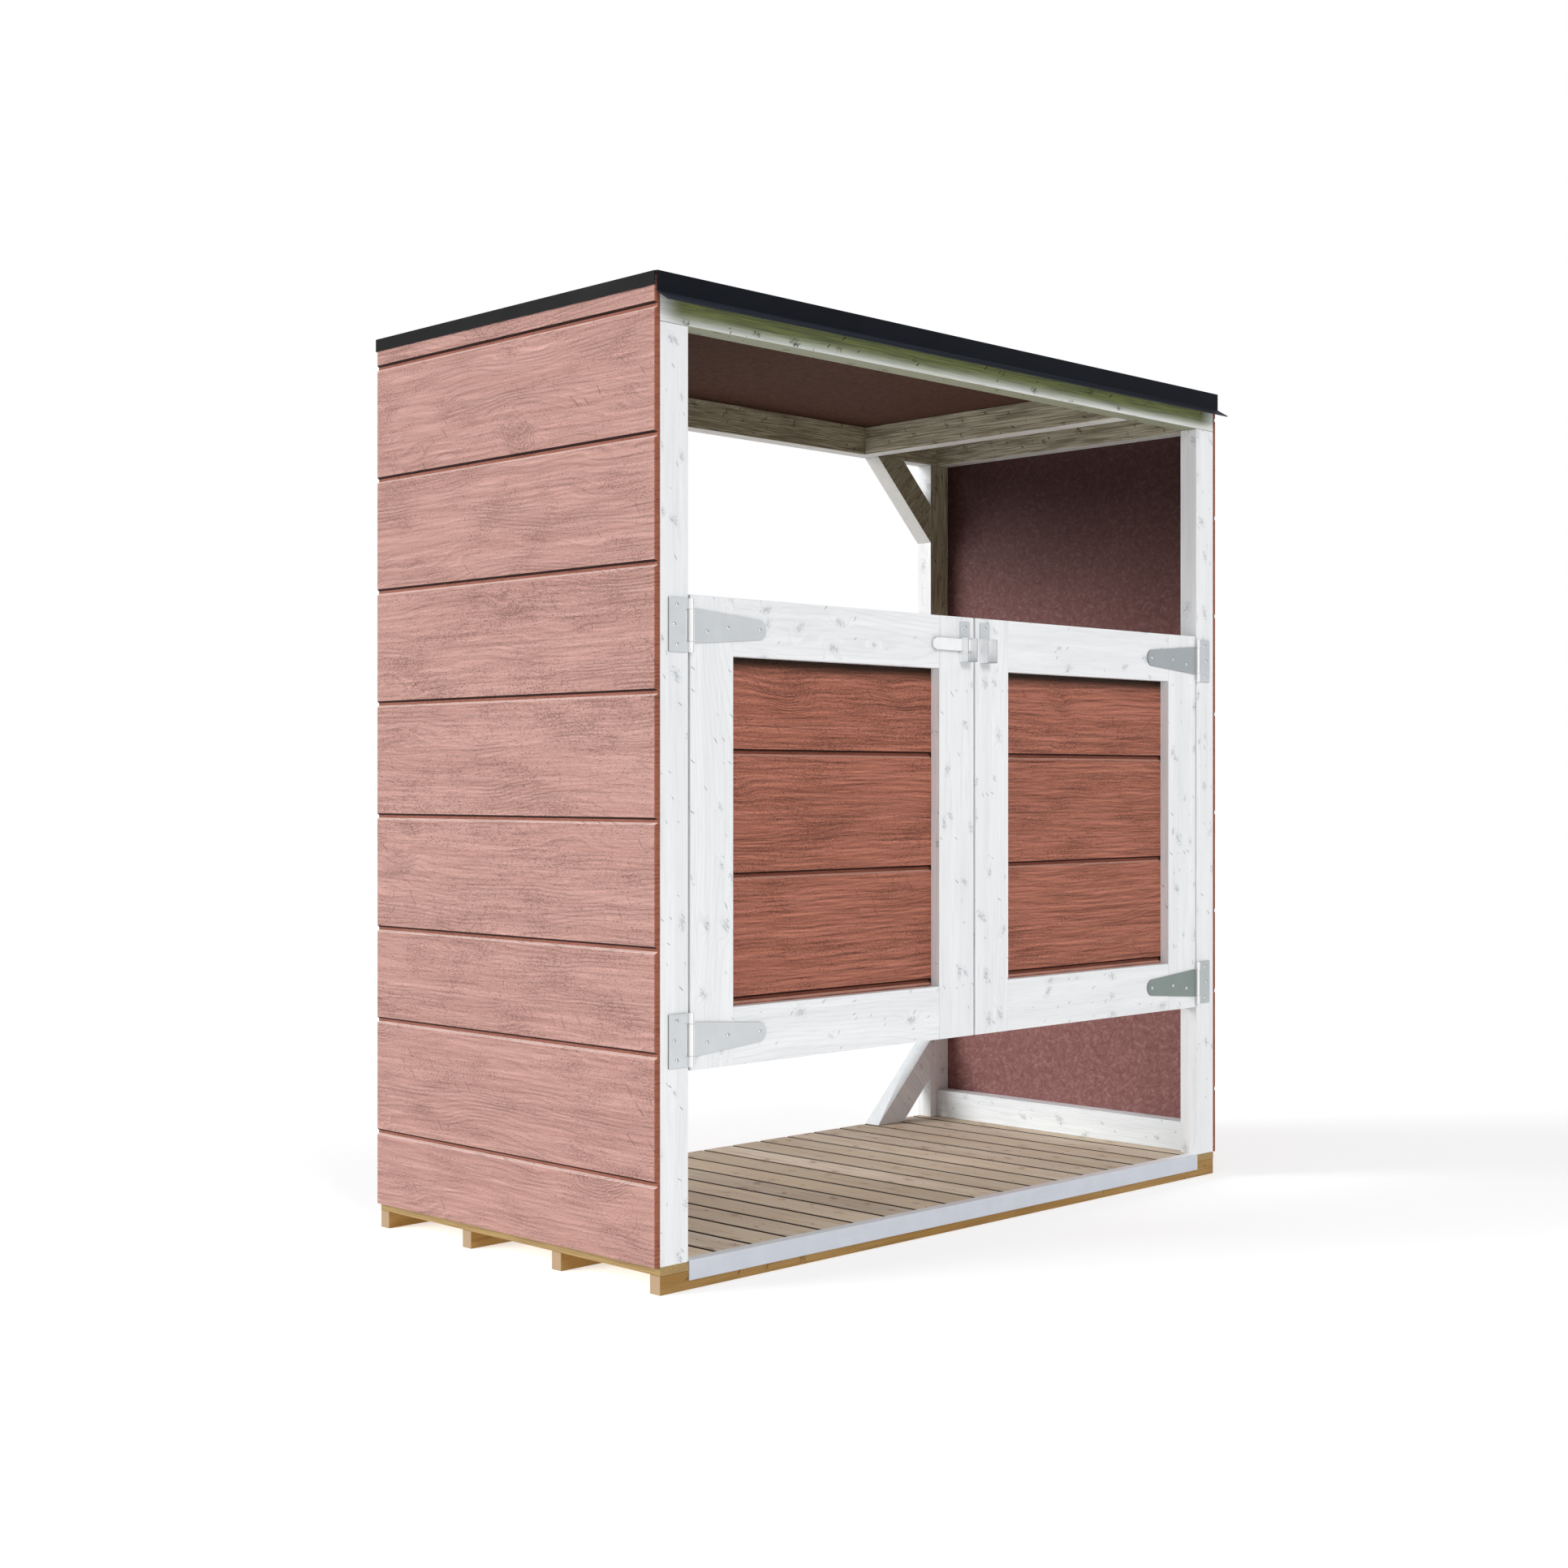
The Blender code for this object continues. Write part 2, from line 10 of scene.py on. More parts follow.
import bmesh
import bpy
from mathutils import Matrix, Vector


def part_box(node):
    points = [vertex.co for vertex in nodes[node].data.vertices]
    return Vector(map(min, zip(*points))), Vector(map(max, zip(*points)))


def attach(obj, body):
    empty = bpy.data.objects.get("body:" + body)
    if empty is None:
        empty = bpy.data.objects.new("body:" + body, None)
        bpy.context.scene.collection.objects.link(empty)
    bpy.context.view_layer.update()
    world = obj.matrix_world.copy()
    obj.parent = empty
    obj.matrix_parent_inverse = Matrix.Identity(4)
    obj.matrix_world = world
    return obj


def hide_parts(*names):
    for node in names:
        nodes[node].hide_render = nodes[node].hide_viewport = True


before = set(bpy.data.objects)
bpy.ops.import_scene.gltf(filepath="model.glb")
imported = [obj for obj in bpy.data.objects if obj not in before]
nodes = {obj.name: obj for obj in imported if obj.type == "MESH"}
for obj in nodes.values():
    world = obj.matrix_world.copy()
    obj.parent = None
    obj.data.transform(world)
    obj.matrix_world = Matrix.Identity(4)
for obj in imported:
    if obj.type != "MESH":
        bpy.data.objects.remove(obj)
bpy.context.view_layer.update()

SIDES = (("left", -1), ("right", 1))
FRONT = (0.0, -1.0, 0.0)

# ---------------------------------------------------------------- camera, light and floor
EYE = (-3.7032, -3.5531, 0.978)
LENS = 50.0                # millimetres, on a sensor 36 mm wide
HEADING = math.radians(-45.0)
SKY_LIGHT = 0.4            # light from all round; the camera sees plain white
LAMPS = {                  # where a lamp's light comes from, its power and its softness
    "side_lamp": (Vector((-1.0, 0.60, 0.48)), 2.55, math.radians(35.0)),
    "front_lamp": (Vector((-0.20, -0.80, 0.50)), 1.15, math.radians(24.0)),
}
FLOOR_SIDE = 60.0
FLOOR_COLOUR = (0.70, 0.70, 0.705)
FLOOR_GLOW = 0.50          # the floor is a light table, lit from below too

# ---------------------------------------------------------------- sizes
TIMBER_EDGE = 0.0014       # rounding of the planed timbers' edges
DECK_BOARDS = 19
DECK_FIRST_BOARD = 0.0735  # the leftmost board is ripped to fit
DECK_BOARD_GAP = 0.0055
DECK_EDGE = 0.0034         # rounding of the boards' long upper edges
DECK_EDGE_ANGLES = (0.0, 30.0, 60.0, 90.0)
SHEET_EDGE = 0.0006        # rounding of the cut sheets and of the threshold
TRIM_EDGE = 0.0005
EMBOSS_DEPTH = 0.0020      # of the boards pressed into the sheets
EMBOSS_STEP = 0.0016       # over which the relief's slope is taken
GRAIN_DEPTH = 0.001        # of the other surfaces, unless they say their own
SCREW_RADIUS = 0.0044
SCREW_HEIGHT = 0.0021
SCREW_SOCKET = 0.0019
SCREW_SIDES = 24
SCREW_PROFILE = ((1.0, 0.0), (0.97, 0.35), (0.80, 0.75), (0.55, 0.97))
SCREW_FLOOR = (0.85, 0.35)  # the socket's floor, as shares of its radius and the height
SCREW_FLATS = 0.16         # how far the socket's flats come in
PLATE_SCREWS = ((0.021, 0.038), (0.014, 0.0), (0.021, -0.038))  # from edge, from middle
STRAP_SCREWS = ((0.045, -0.010), (0.101, 0.0), (0.189, 0.0))    # from pin, from middle
HINGE_FRONT = 0.0028       # front of a hinge's metal before the timber's face
PIN_INSET = 0.006          # pin's axis from the strap's end
LATCH_METAL = 0.002
LATCH_SCREW_DROP = 0.012
BEVEL_SEGMENTS = 3
BEVEL_FROM = math.radians(30.0)     # edges that turn less than this stay as they are
SHARP_FROM = math.radians(40.0)
WELD_DISTANCE = 0.00001
FAR_AWAY = 100.0           # distance given to a spot that isn't there


# ---------------------------------------------------------------- node helper
def rgba(colour):
    """A colour socket's value from three numbers; a socket is passed through."""
    return (*colour, 1.0) if isinstance(colour, tuple) else colour


class Recipe:
    """One procedural material; each method adds a node and returns its output."""

    def __init__(self, name, metallic=0.0, specular=0.2):
        self.material = bpy.data.materials.new(name)
        self.material.use_nodes = True
        self.tree = self.material.node_tree
        self.shader = self.tree.nodes["Principled BSDF"]
        self.shader.inputs["Metallic"].default_value = metallic
        self.shader.inputs["Specular IOR Level"].default_value = specular
        self.chance = random.Random(name)

    def feed(self, socket, value):
        """Links a socket, or sets an input's own value from a number or a tuple."""
        if isinstance(value, bpy.types.NodeSocket):
            self.tree.links.new(value, socket)
        else:
            socket.default_value = value

    def add(self, kind, inputs, **settings):
        node = self.tree.nodes.new(kind)
        for key, value in settings.items():
            setattr(node, key, value)
        for key, value in inputs.items():
            self.feed(node.inputs[key], value)
        return node

    def math(self, operation, *values):
        inputs = dict(enumerate(values))
        return self.add("ShaderNodeMath", inputs, operation=operation).outputs[0]

    def plus(self, first, *others):
        for other in others:
            first = self.math("ADD", first, other)
        return first

    def times(self, first, *others):
        for other in others:
            first = self.math("MULTIPLY", first, other)
        return first

    def remap(self, value, low, high, to_low=0.0, to_high=1.0, soft=True):
        """A value between low and high brought to a new range, with a smooth step if soft."""
        inputs = {"Value": value, "From Min": low, "From Max": high}
        inputs |= {"To Min": to_low, "To Max": to_high}
        kind = "SMOOTHSTEP" if soft else "LINEAR"
        return self.add("ShaderNodeMapRange", inputs, interpolation_type=kind).outputs[0]

    def mix(self, factor, first, second, how="MIX"):
        inputs = {0: factor, 6: rgba(first), 7: rgba(second)}
        node = self.add("ShaderNodeMix", inputs, data_type="RGBA", blend_type=how)
        return node.outputs[2]

    def shade(self, colour, value):
        """A colour made lighter or darker by a number round 1."""
        return self.mix(1.0, colour, self.join(value, value, value), "MULTIPLY")

    def join(self, x, y, z):
        return self.add("ShaderNodeCombineXYZ", {0: x, 1: y, 2: z}).outputs[0]

    def split(self, vector):
        return list(self.add("ShaderNodeSeparateXYZ", {0: vector}).outputs)

    def vector(self, operation, first, second):
        node = self.add("ShaderNodeVectorMath", {0: first, 1: second}, operation=operation)
        return node.outputs[0]

    def mapped(self, vector, kind, rotation, location=(0.0, 0.0, 0.0)):
        inputs = {"Vector": vector, "Rotation": rotation}
        if kind == "POINT":
            inputs["Location"] = location
        return self.add("ShaderNodeMapping", inputs, vector_type=kind).outputs[0]

    def noise(self, vector, scale=(1.0, 1.0, 1.0), detail=2.0, roughness=0.5, output=0):
        stretched = self.vector("MULTIPLY", vector, scale)
        inputs = {"Vector": stretched, "Scale": 1.0, "Detail": detail, "Roughness": roughness}
        return self.add("ShaderNodeTexNoise", inputs).outputs[output]

    def whole(self, value):
        return self.math("FLOOR", value)

    def coordinates(self):
        """The one node that gives a point's place and facing, added when first asked for."""
        node = self.tree.nodes.get("place")
        if node is None:
            node = self.add("ShaderNodeTexCoord", {})
            node.name = "place"
        return node

    def position(self):
        return self.coordinates().outputs["Object"]

    def facing(self):
        return self.coordinates().outputs["Normal"]

    def spots(self, along, across, cell, share, size, lean, wobble=None):
        """Distance from the nearest of some scattered leaning ellipses, 1 at its rim."""
        start = [self.chance.uniform(0.0, 40.0) for _ in range(2)]
        x = self.math("MULTIPLY_ADD", along, 1.0 / cell[0], start[0])
        y = self.math("MULTIPLY_ADD", across, 1.0 / cell[1], start[1])
        grid = self.join(x, y, 0.0)
        inputs = {"Vector": grid, "Scale": 1.0, "Randomness": 0.9}
        cells = self.add("ShaderNodeTexVoronoi", inputs, voronoi_dimensions="2D")
        off = self.vector("SUBTRACT", grid, cells.outputs["Position"])
        dx, dy, _ = self.split(self.vector("MULTIPLY", off, (*cell, 0.0)))
        pick, turn, grow = self.split(cells.outputs["Color"])
        angle = self.remap(turn, 0.0, 1.0, lean[0], lean[1], soft=False)
        cosine, sine = self.math("COSINE", angle), self.math("SINE", angle)
        long = self.plus(self.times(dx, cosine), self.times(dy, sine))
        short = self.math("SUBTRACT", self.times(dy, cosine), self.times(dx, sine))
        scale = self.remap(grow, 0.0, 1.0, 0.55, 1.3, soft=False)
        long = self.math("DIVIDE", self.math("DIVIDE", long, size[0]), scale)
        short = self.math("DIVIDE", self.math("DIVIDE", short, size[1]), scale)
        squares = self.plus(self.times(long, long), self.times(short, short))
        distance = self.math("SQRT", squares)
        if wobble is not None:
            distance = self.plus(distance, wobble)
        missing = self.math("GREATER_THAN", pick, share)
        return self.math("MULTIPLY_ADD", missing, FAR_AWAY, distance)

    def finish(self, colour, roughness, height=None, depth=GRAIN_DEPTH):
        """Feeds the shader; height is in units of depth, in metres."""
        self.feed(self.shader.inputs["Base Color"], colour)
        self.feed(self.shader.inputs["Roughness"], roughness)
        if height is not None:
            inputs = {"Height": height, "Distance": depth, "Strength": 1.0}
            bump = self.add("ShaderNodeBump", inputs)
            self.feed(self.shader.inputs["Normal"], bump.outputs[0])
        return self.material


# ---------------------------------------------------------------- solid timber
# turns that bring a piece's grain onto X
ALONG = {
    "x": (0.0, 0.0, 0.0),
    "y": (0.0, 0.0, math.radians(-90.0)),
    "z": (0.0, math.radians(90.0), 0.0),
    "rising": (0.0, math.radians(45.0), 0.0),
    "falling": (0.0, math.radians(-45.0), 0.0),
}

WHITE = {
    "wood": (0.800, 0.812, 0.825),
    "pale": (0.860, 0.866, 0.872),
    "streak": (0.62, 0.64, 0.66),
    "knot": (0.34, 0.37, 0.40),
    "contrast": 0.58,
    "knots": 0.78,
}
# painted light: WHITE made lighter and bluer, for the bottom rails and foot braces low inside
PAINTED_LIGHT_WHITE = WHITE | {"wood": (0.84, 0.90, 0.93), "pale": (0.91, 0.96, 0.98), "contrast": 0.75}
HONEY = {
    "wood": (0.31, 0.172, 0.045),
    "pale": (0.38, 0.230, 0.078),
    "streak": (0.20, 0.10, 0.030),
    "knot": (0.09, 0.04, 0.015),
    "contrast": 0.9,
    "knots": 0.9,
    "end": (0.42, 0.31, 0.205),
}
# painted shade: brown standing for shade on faces under the roof, those turned to the front and
# those turned to a side; their pale tone is painted on the undersides
SHADED = {
    "wood": (0.50, 0.46, 0.30),
    "pale": (0.42, 0.41, 0.33),
    "streak": (0.15, 0.125, 0.065),
    "knot": (0.012, 0.010, 0.008),
}
SHADED_PALE = {
    "wood": (0.64, 0.60, 0.45),
    "pale": (0.50, 0.49, 0.41),
    "streak": (0.21, 0.185, 0.11),
    "knot": (0.015, 0.013, 0.010),
}


RING_WIDTH = 0.0042
PAINTED_SHADE_KNOTS = 1.45        # share of knots in the timbers that get brown painted shade


def grain_frame(recipe, grain):
    """Place and facing turned so that the grain runs along X, with a start of its own."""
    start = tuple(recipe.chance.uniform(-9.0, 9.0) for _ in range(3))
    place = recipe.mapped(recipe.position(), "POINT", ALONG[grain], start)
    facing = recipe.mapped(recipe.facing(), "VECTOR", ALONG[grain])
    return place, facing


def wood_pattern(recipe, place, facing, palette, knotty=1.0):
    """Colour, ring lines, knots and end grain of one solid piece of softwood."""
    u, v, w = recipe.split(place)
    end, side_v, side_w = [recipe.math("ABSOLUTE", part) for part in recipe.split(facing)]
    across = recipe.plus(recipe.times(v, side_w), recipe.times(w, side_v))
    shift = recipe.plus(recipe.times(side_v, 3.7), recipe.times(side_w, 1.3))
    along = recipe.plus(u, shift)
    wobble = recipe.noise(place, (60.0, 60.0, 60.0), detail=2.0)
    wobble = recipe.remap(wobble, 0.0, 1.0, -0.5, 0.5, soft=False)
    ragged = recipe.noise(place, (170.0, 260.0, 260.0), detail=3.0, roughness=0.7)
    ragged = recipe.remap(ragged, 0.0, 1.0, -2.2, 2.2, soft=False)
    big, dash, small = [
        recipe.spots(along, across, cell, share, size, lean, wobble)
        for cell, share, size, lean in (
            ((0.11, 0.046), 0.5 * knotty, (0.010, 0.0055), (-0.4, 1.0)),
            ((0.0100, 0.0055), 0.7, (0.0046, 0.0010), (0.5, 1.2)),
            ((0.046, 0.025), 0.22 * knotty, (0.0060, 0.0012), (0.3, 1.1)),
        )
    ]
    around = recipe.remap(big, 4.5, 0.6)
    # growth rings: the distance from a pith line that wanders beside the piece
    drift = recipe.noise(place, (1.1, 3.0, 3.0), detail=2.0, output=1)
    drift_v, drift_w, _ = recipe.split(drift)
    pith = [recipe.chance.uniform(0.03, 0.07) for _ in range(2)]
    ring_v = recipe.math("MULTIPLY_ADD", drift_v, 0.05, recipe.plus(v, pith[0]))
    ring_w = recipe.math("MULTIPLY_ADD", drift_w, 0.05, recipe.plus(w, pith[1]))
    ring_v = recipe.math("PINGPONG", ring_v, 0.4)
    ring_w = recipe.math("PINGPONG", ring_w, 0.4)
    squares = recipe.plus(recipe.times(ring_v, ring_v), recipe.times(ring_w, ring_w))
    rings = recipe.times(recipe.math("SQRT", squares), 1.0 / RING_WIDTH)
    rings = recipe.math("MULTIPLY_ADD", around, 1.6, rings)
    line = recipe.math("PINGPONG", rings, 0.5)
    line = recipe.remap(line, 0.30, 0.5)
    fibre = recipe.noise(place, (9.0, 520.0, 520.0), detail=3.0, roughness=0.6)
    tone = recipe.noise(place, (1.6, 34.0, 34.0), detail=3.0)
    cloud = recipe.noise(place, (7.0, 75.0, 75.0), detail=3.0, roughness=0.6)
    cloud = recipe.remap(cloud, 0.50, 0.72)
    colour = recipe.mix(recipe.remap(tone, 0.35, 0.68), palette["wood"], palette["pale"])
    colour = recipe.mix(recipe.times(cloud, 0.45 * palette["contrast"]), colour, palette["streak"])
    dark = recipe.times(recipe.remap(fibre, 0.42, 0.72), 0.55 * palette["contrast"])
    colour = recipe.mix(dark, colour, palette["streak"])
    colour = recipe.mix(recipe.times(line, 0.5 * palette["contrast"]), colour, palette["streak"])
    halo = recipe.times(recipe.remap(big, 2.6, 0.8), 0.30 * palette["knots"])
    colour = recipe.mix(halo, colour, palette["streak"])
    # a knot is a ragged patch crossed by short leaning cracks
    patch = recipe.remap(recipe.plus(big, ragged), 1.1, 0.2, 0.0, 0.5)
    cracks = recipe.times(recipe.remap(dash, 1.3, 0.6), recipe.remap(big, 1.9, 1.0))
    knot = recipe.math("MAXIMUM", patch, cracks)
    knot = recipe.math("MAXIMUM", knot, recipe.remap(small, 1.3, 0.5))
    colour = recipe.mix(recipe.times(knot, palette["knots"]), colour, palette["knot"])
    sawn = recipe.remap(end, 0.6, 0.9)
    if "end" in palette:
        colour = recipe.mix(recipe.times(sawn, 0.85), colour, palette["end"])
    colour = recipe.mix(recipe.times(sawn, line, 0.5), colour, palette["streak"])
    height = recipe.plus(
        recipe.times(fibre, 0.16), recipe.times(line, -0.10), recipe.times(knot, 0.22)
    )
    parts = {"colour": colour, "height": height, "knot": knot, "fibre": fibre}
    return parts | {"line": line, "cloud": cloud}


def timber(name, grain, palette, painted_shade=None, roughness=0.6):
    """Timber of one palette.

    The last argument gives the painted shade: which faces go brown, their palette, and
    the heights between which the brown comes in; its two tables stand beside TIMBERS.
    """
    recipe = Recipe(name)
    place, facing = grain_frame(recipe, grain)
    wood = wood_pattern(recipe, place, facing, palette, 1.0 if painted_shade is None else PAINTED_SHADE_KNOTS)
    colour = wood["colour"]
    if painted_shade is not None:
        toward, tint, low, high = painted_shade
        nx, ny, nz = recipe.split(recipe.facing())
        # painted shade: faces under the roof turned to the front or a side are painted brown, the
        # more the nearer to the roof
        side = {"x": recipe.math("ABSOLUTE", nx), "y": recipe.times(ny, -1.0)}[toward]
        z = recipe.split(recipe.position())[2]
        amount = recipe.times(recipe.remap(side, 0.3, 0.8), recipe.remap(z, low, high))
        streak = recipe.remap(wood["fibre"], 0.40, 0.62)
        brown = recipe.mix(streak, tint["wood"], tint["streak"])
        brown = recipe.mix(recipe.times(wood["cloud"], 0.75), brown, tint["streak"])
        brown = recipe.mix(recipe.times(wood["line"], 0.5), brown, tint["streak"])
        brown = recipe.mix(recipe.times(wood["knot"], 0.9), brown, tint["knot"])
        colour = recipe.mix(recipe.times(amount, 0.96), colour, brown)
        # painted shade on the faces turned down
        under = recipe.times(recipe.remap(nz, -0.3, -0.8), 0.45)
        colour = recipe.mix(under, colour, tint["pale"])
    gloss = recipe.remap(wood["fibre"], 0.3, 0.7, roughness - 0.07, roughness + 0.1, soft=False)
    return recipe.finish(colour, gloss, wood["height"])


BEAM_SHADE_AND_KNOT = {
    "pale_green": (0.19, 0.225, 0.035),
    "deep_green": (0.07, 0.09, 0.015),
    "patch": (0.07, 0.085, 0.02),
    "underside": (0.235, 0.245, 0.145),
    "inside": (0.20, 0.175, 0.115),
    "knot": (0.02, 0.022, 0.018),
}


def beam_with_green_shadow(name):
    """White stained timber, with a green painted shadow on its front under the roof's edge."""
    recipe = Recipe(name)
    place, facing = grain_frame(recipe, "x")
    wood = wood_pattern(recipe, place, facing, WHITE)
    low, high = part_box("front_beam")
    x, _, z = recipe.split(recipe.position())
    _, front, up = recipe.split(recipe.facing())
    # painted shadow of the drip edge's lip, tinted green, on the front's upper part, fading at the
    # ends
    ragged = recipe.noise(place, (3.0, 40.0, 40.0), detail=3.0)
    ragged = recipe.remap(ragged, 0.0, 1.0, -0.010, 0.010, soft=False)
    rise = recipe.remap(recipe.plus(z, ragged), low.z - 0.012, low.z + 0.030)
    inward = recipe.remap(recipe.math("ABSOLUTE", x), high.x + 0.025, high.x - 0.060)
    on_front = recipe.remap(front, -0.3, -0.8)
    green = recipe.times(rise, inward, on_front)
    deep_green = recipe.remap(wood["fibre"], 0.38, 0.64)
    green_shadow = recipe.mix(deep_green, BEAM_SHADE_AND_KNOT["pale_green"], BEAM_SHADE_AND_KNOT["deep_green"])
    green_shadow = recipe.mix(recipe.times(wood["cloud"], 0.6), green_shadow, BEAM_SHADE_AND_KNOT["patch"])
    colour = recipe.mix(recipe.times(green, 0.93), wood["colour"], green_shadow)
    # painted shade on the underside and on the face turned inward
    under = recipe.remap(up, -0.4, -0.8)
    colour = recipe.mix(recipe.times(under, 0.9), colour, BEAM_SHADE_AND_KNOT["underside"])
    inside = recipe.remap(front, 0.3, 0.8)
    colour = recipe.mix(recipe.times(inside, 0.9), colour, BEAM_SHADE_AND_KNOT["inside"])
    colour = recipe.mix(recipe.times(wood["knot"], 0.85), colour, BEAM_SHADE_AND_KNOT["knot"])
    gloss = recipe.remap(wood["fibre"], 0.3, 0.7, 0.55, 0.75, soft=False)
    return recipe.finish(colour, gloss, wood["height"])


# ---------------------------------------------------------------- stained sheets
# "ridges" and "relief" are how strongly the painted highlight and shade of the pressed
# lines mark the colour, and "sway" is how far, in metres, the lines wander
WALL_RED = {
    "stain": (0.385, 0.212, 0.182),
    "light": (0.465, 0.272, 0.237),
    "dark": (0.29, 0.145, 0.122),
    "pore": (0.13, 0.045, 0.035),
    "groove": (0.27, 0.085, 0.052),
    "edge": (0.34, 0.125, 0.068),
    "lip": (0.72, 0.52, 0.47),
    "ridges": 0.16,
    "relief": 0.75,
    "sway": 0.036,
}
# the doors' sheets are darker and redder than the walls': in part their own deeper red, in part
# painted shade for the lesser light on them
DOOR_RED = {
    "stain": (0.322, 0.115, 0.075),
    "light": (0.400, 0.153, 0.105),
    "dark": (0.215, 0.071, 0.048),
    "pore": (0.06, 0.018, 0.014),
    "groove": (0.15, 0.040, 0.024),
    "edge": (0.20, 0.07, 0.04),
    "lip": (0.62, 0.33, 0.26),
    "ridges": 0.08,
    "relief": 2.2,
    "sway": 0.022,
}
INSIDE_RED = {
    "flake": (0.200, 0.092, 0.086),
    "light": (0.320, 0.175, 0.168),
    "dark": (0.140, 0.057, 0.051),
    "rim": (0.120, 0.040, 0.034),
}
CEILING = {
    "flake": (0.088, 0.047, 0.034),
    "light": (0.108, 0.059, 0.044),
    "dark": (0.060, 0.029, 0.020),
    "rim": (0.050, 0.022, 0.015),
}


FLAKE_LEANS = ((-0.5, 0.5), (0.4, 1.5), (-1.5, -0.4), (-3.0, 3.0))
BOARD_SHIFT = (1.37, 2.9)  # along and across, so that no two boards look the same
DEEP_SHADE = (0.012, 0.004, 0.003)
RAIL_SHADE = (0.016, 0.008, 0.003)


def groove_tops(node):
    """Heights of the upper edges of a sheet's grooves, read from the CAD node."""
    low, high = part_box(node)
    levels = sorted({round(vertex.co.z, 4) for vertex in nodes[node].data.vertices})
    # a groove has four edges, and the highest is its top
    levels = [z for z in levels if low.z + 0.001 < z < high.z - 0.001]
    return levels[3::4]


def strand_pattern(recipe, along, across, palette):
    """Flakes of wood pressed flat at many angles, under a coat of stain."""
    colour = palette["flake"]
    height = 0.0
    curl = recipe.noise(recipe.join(along, across, 0.0), (90.0, 90.0, 1.0), detail=1.0)
    curl = recipe.remap(curl, 0.0, 1.0, -0.25, 0.25, soft=False)
    for lean in FLAKE_LEANS:
        flake = recipe.spots(along, across, (0.032, 0.020), 0.85, (0.026, 0.0046), lean, curl)
        inside = recipe.remap(flake, 1.0, 0.92)
        rim = recipe.math("ABSOLUTE", recipe.math("SUBTRACT", flake, 1.05))
        rim = recipe.remap(rim, 0.20, 0.02)
        tone = recipe.noise(recipe.join(along, across, lean[0]), (55.0, 55.0, 1.0), detail=1.0)
        tint = recipe.mix(recipe.remap(tone, 0.40, 0.60), palette["dark"], palette["light"])
        colour = recipe.mix(recipe.times(inside, 0.30), colour, tint)
        colour = recipe.mix(recipe.times(rim, 0.34), colour, palette["rim"])
        height = recipe.plus(recipe.times(inside, 0.14), recipe.times(rim, -0.1), height)
    grit = recipe.noise(recipe.join(along, across, 0.0), (420.0, 420.0, 1.0), detail=2.0)
    colour = recipe.shade(colour, recipe.remap(grit, 0.25, 0.75, 0.86, 1.12, soft=False))
    return colour, recipe.plus(height, recipe.times(grit, 0.12))


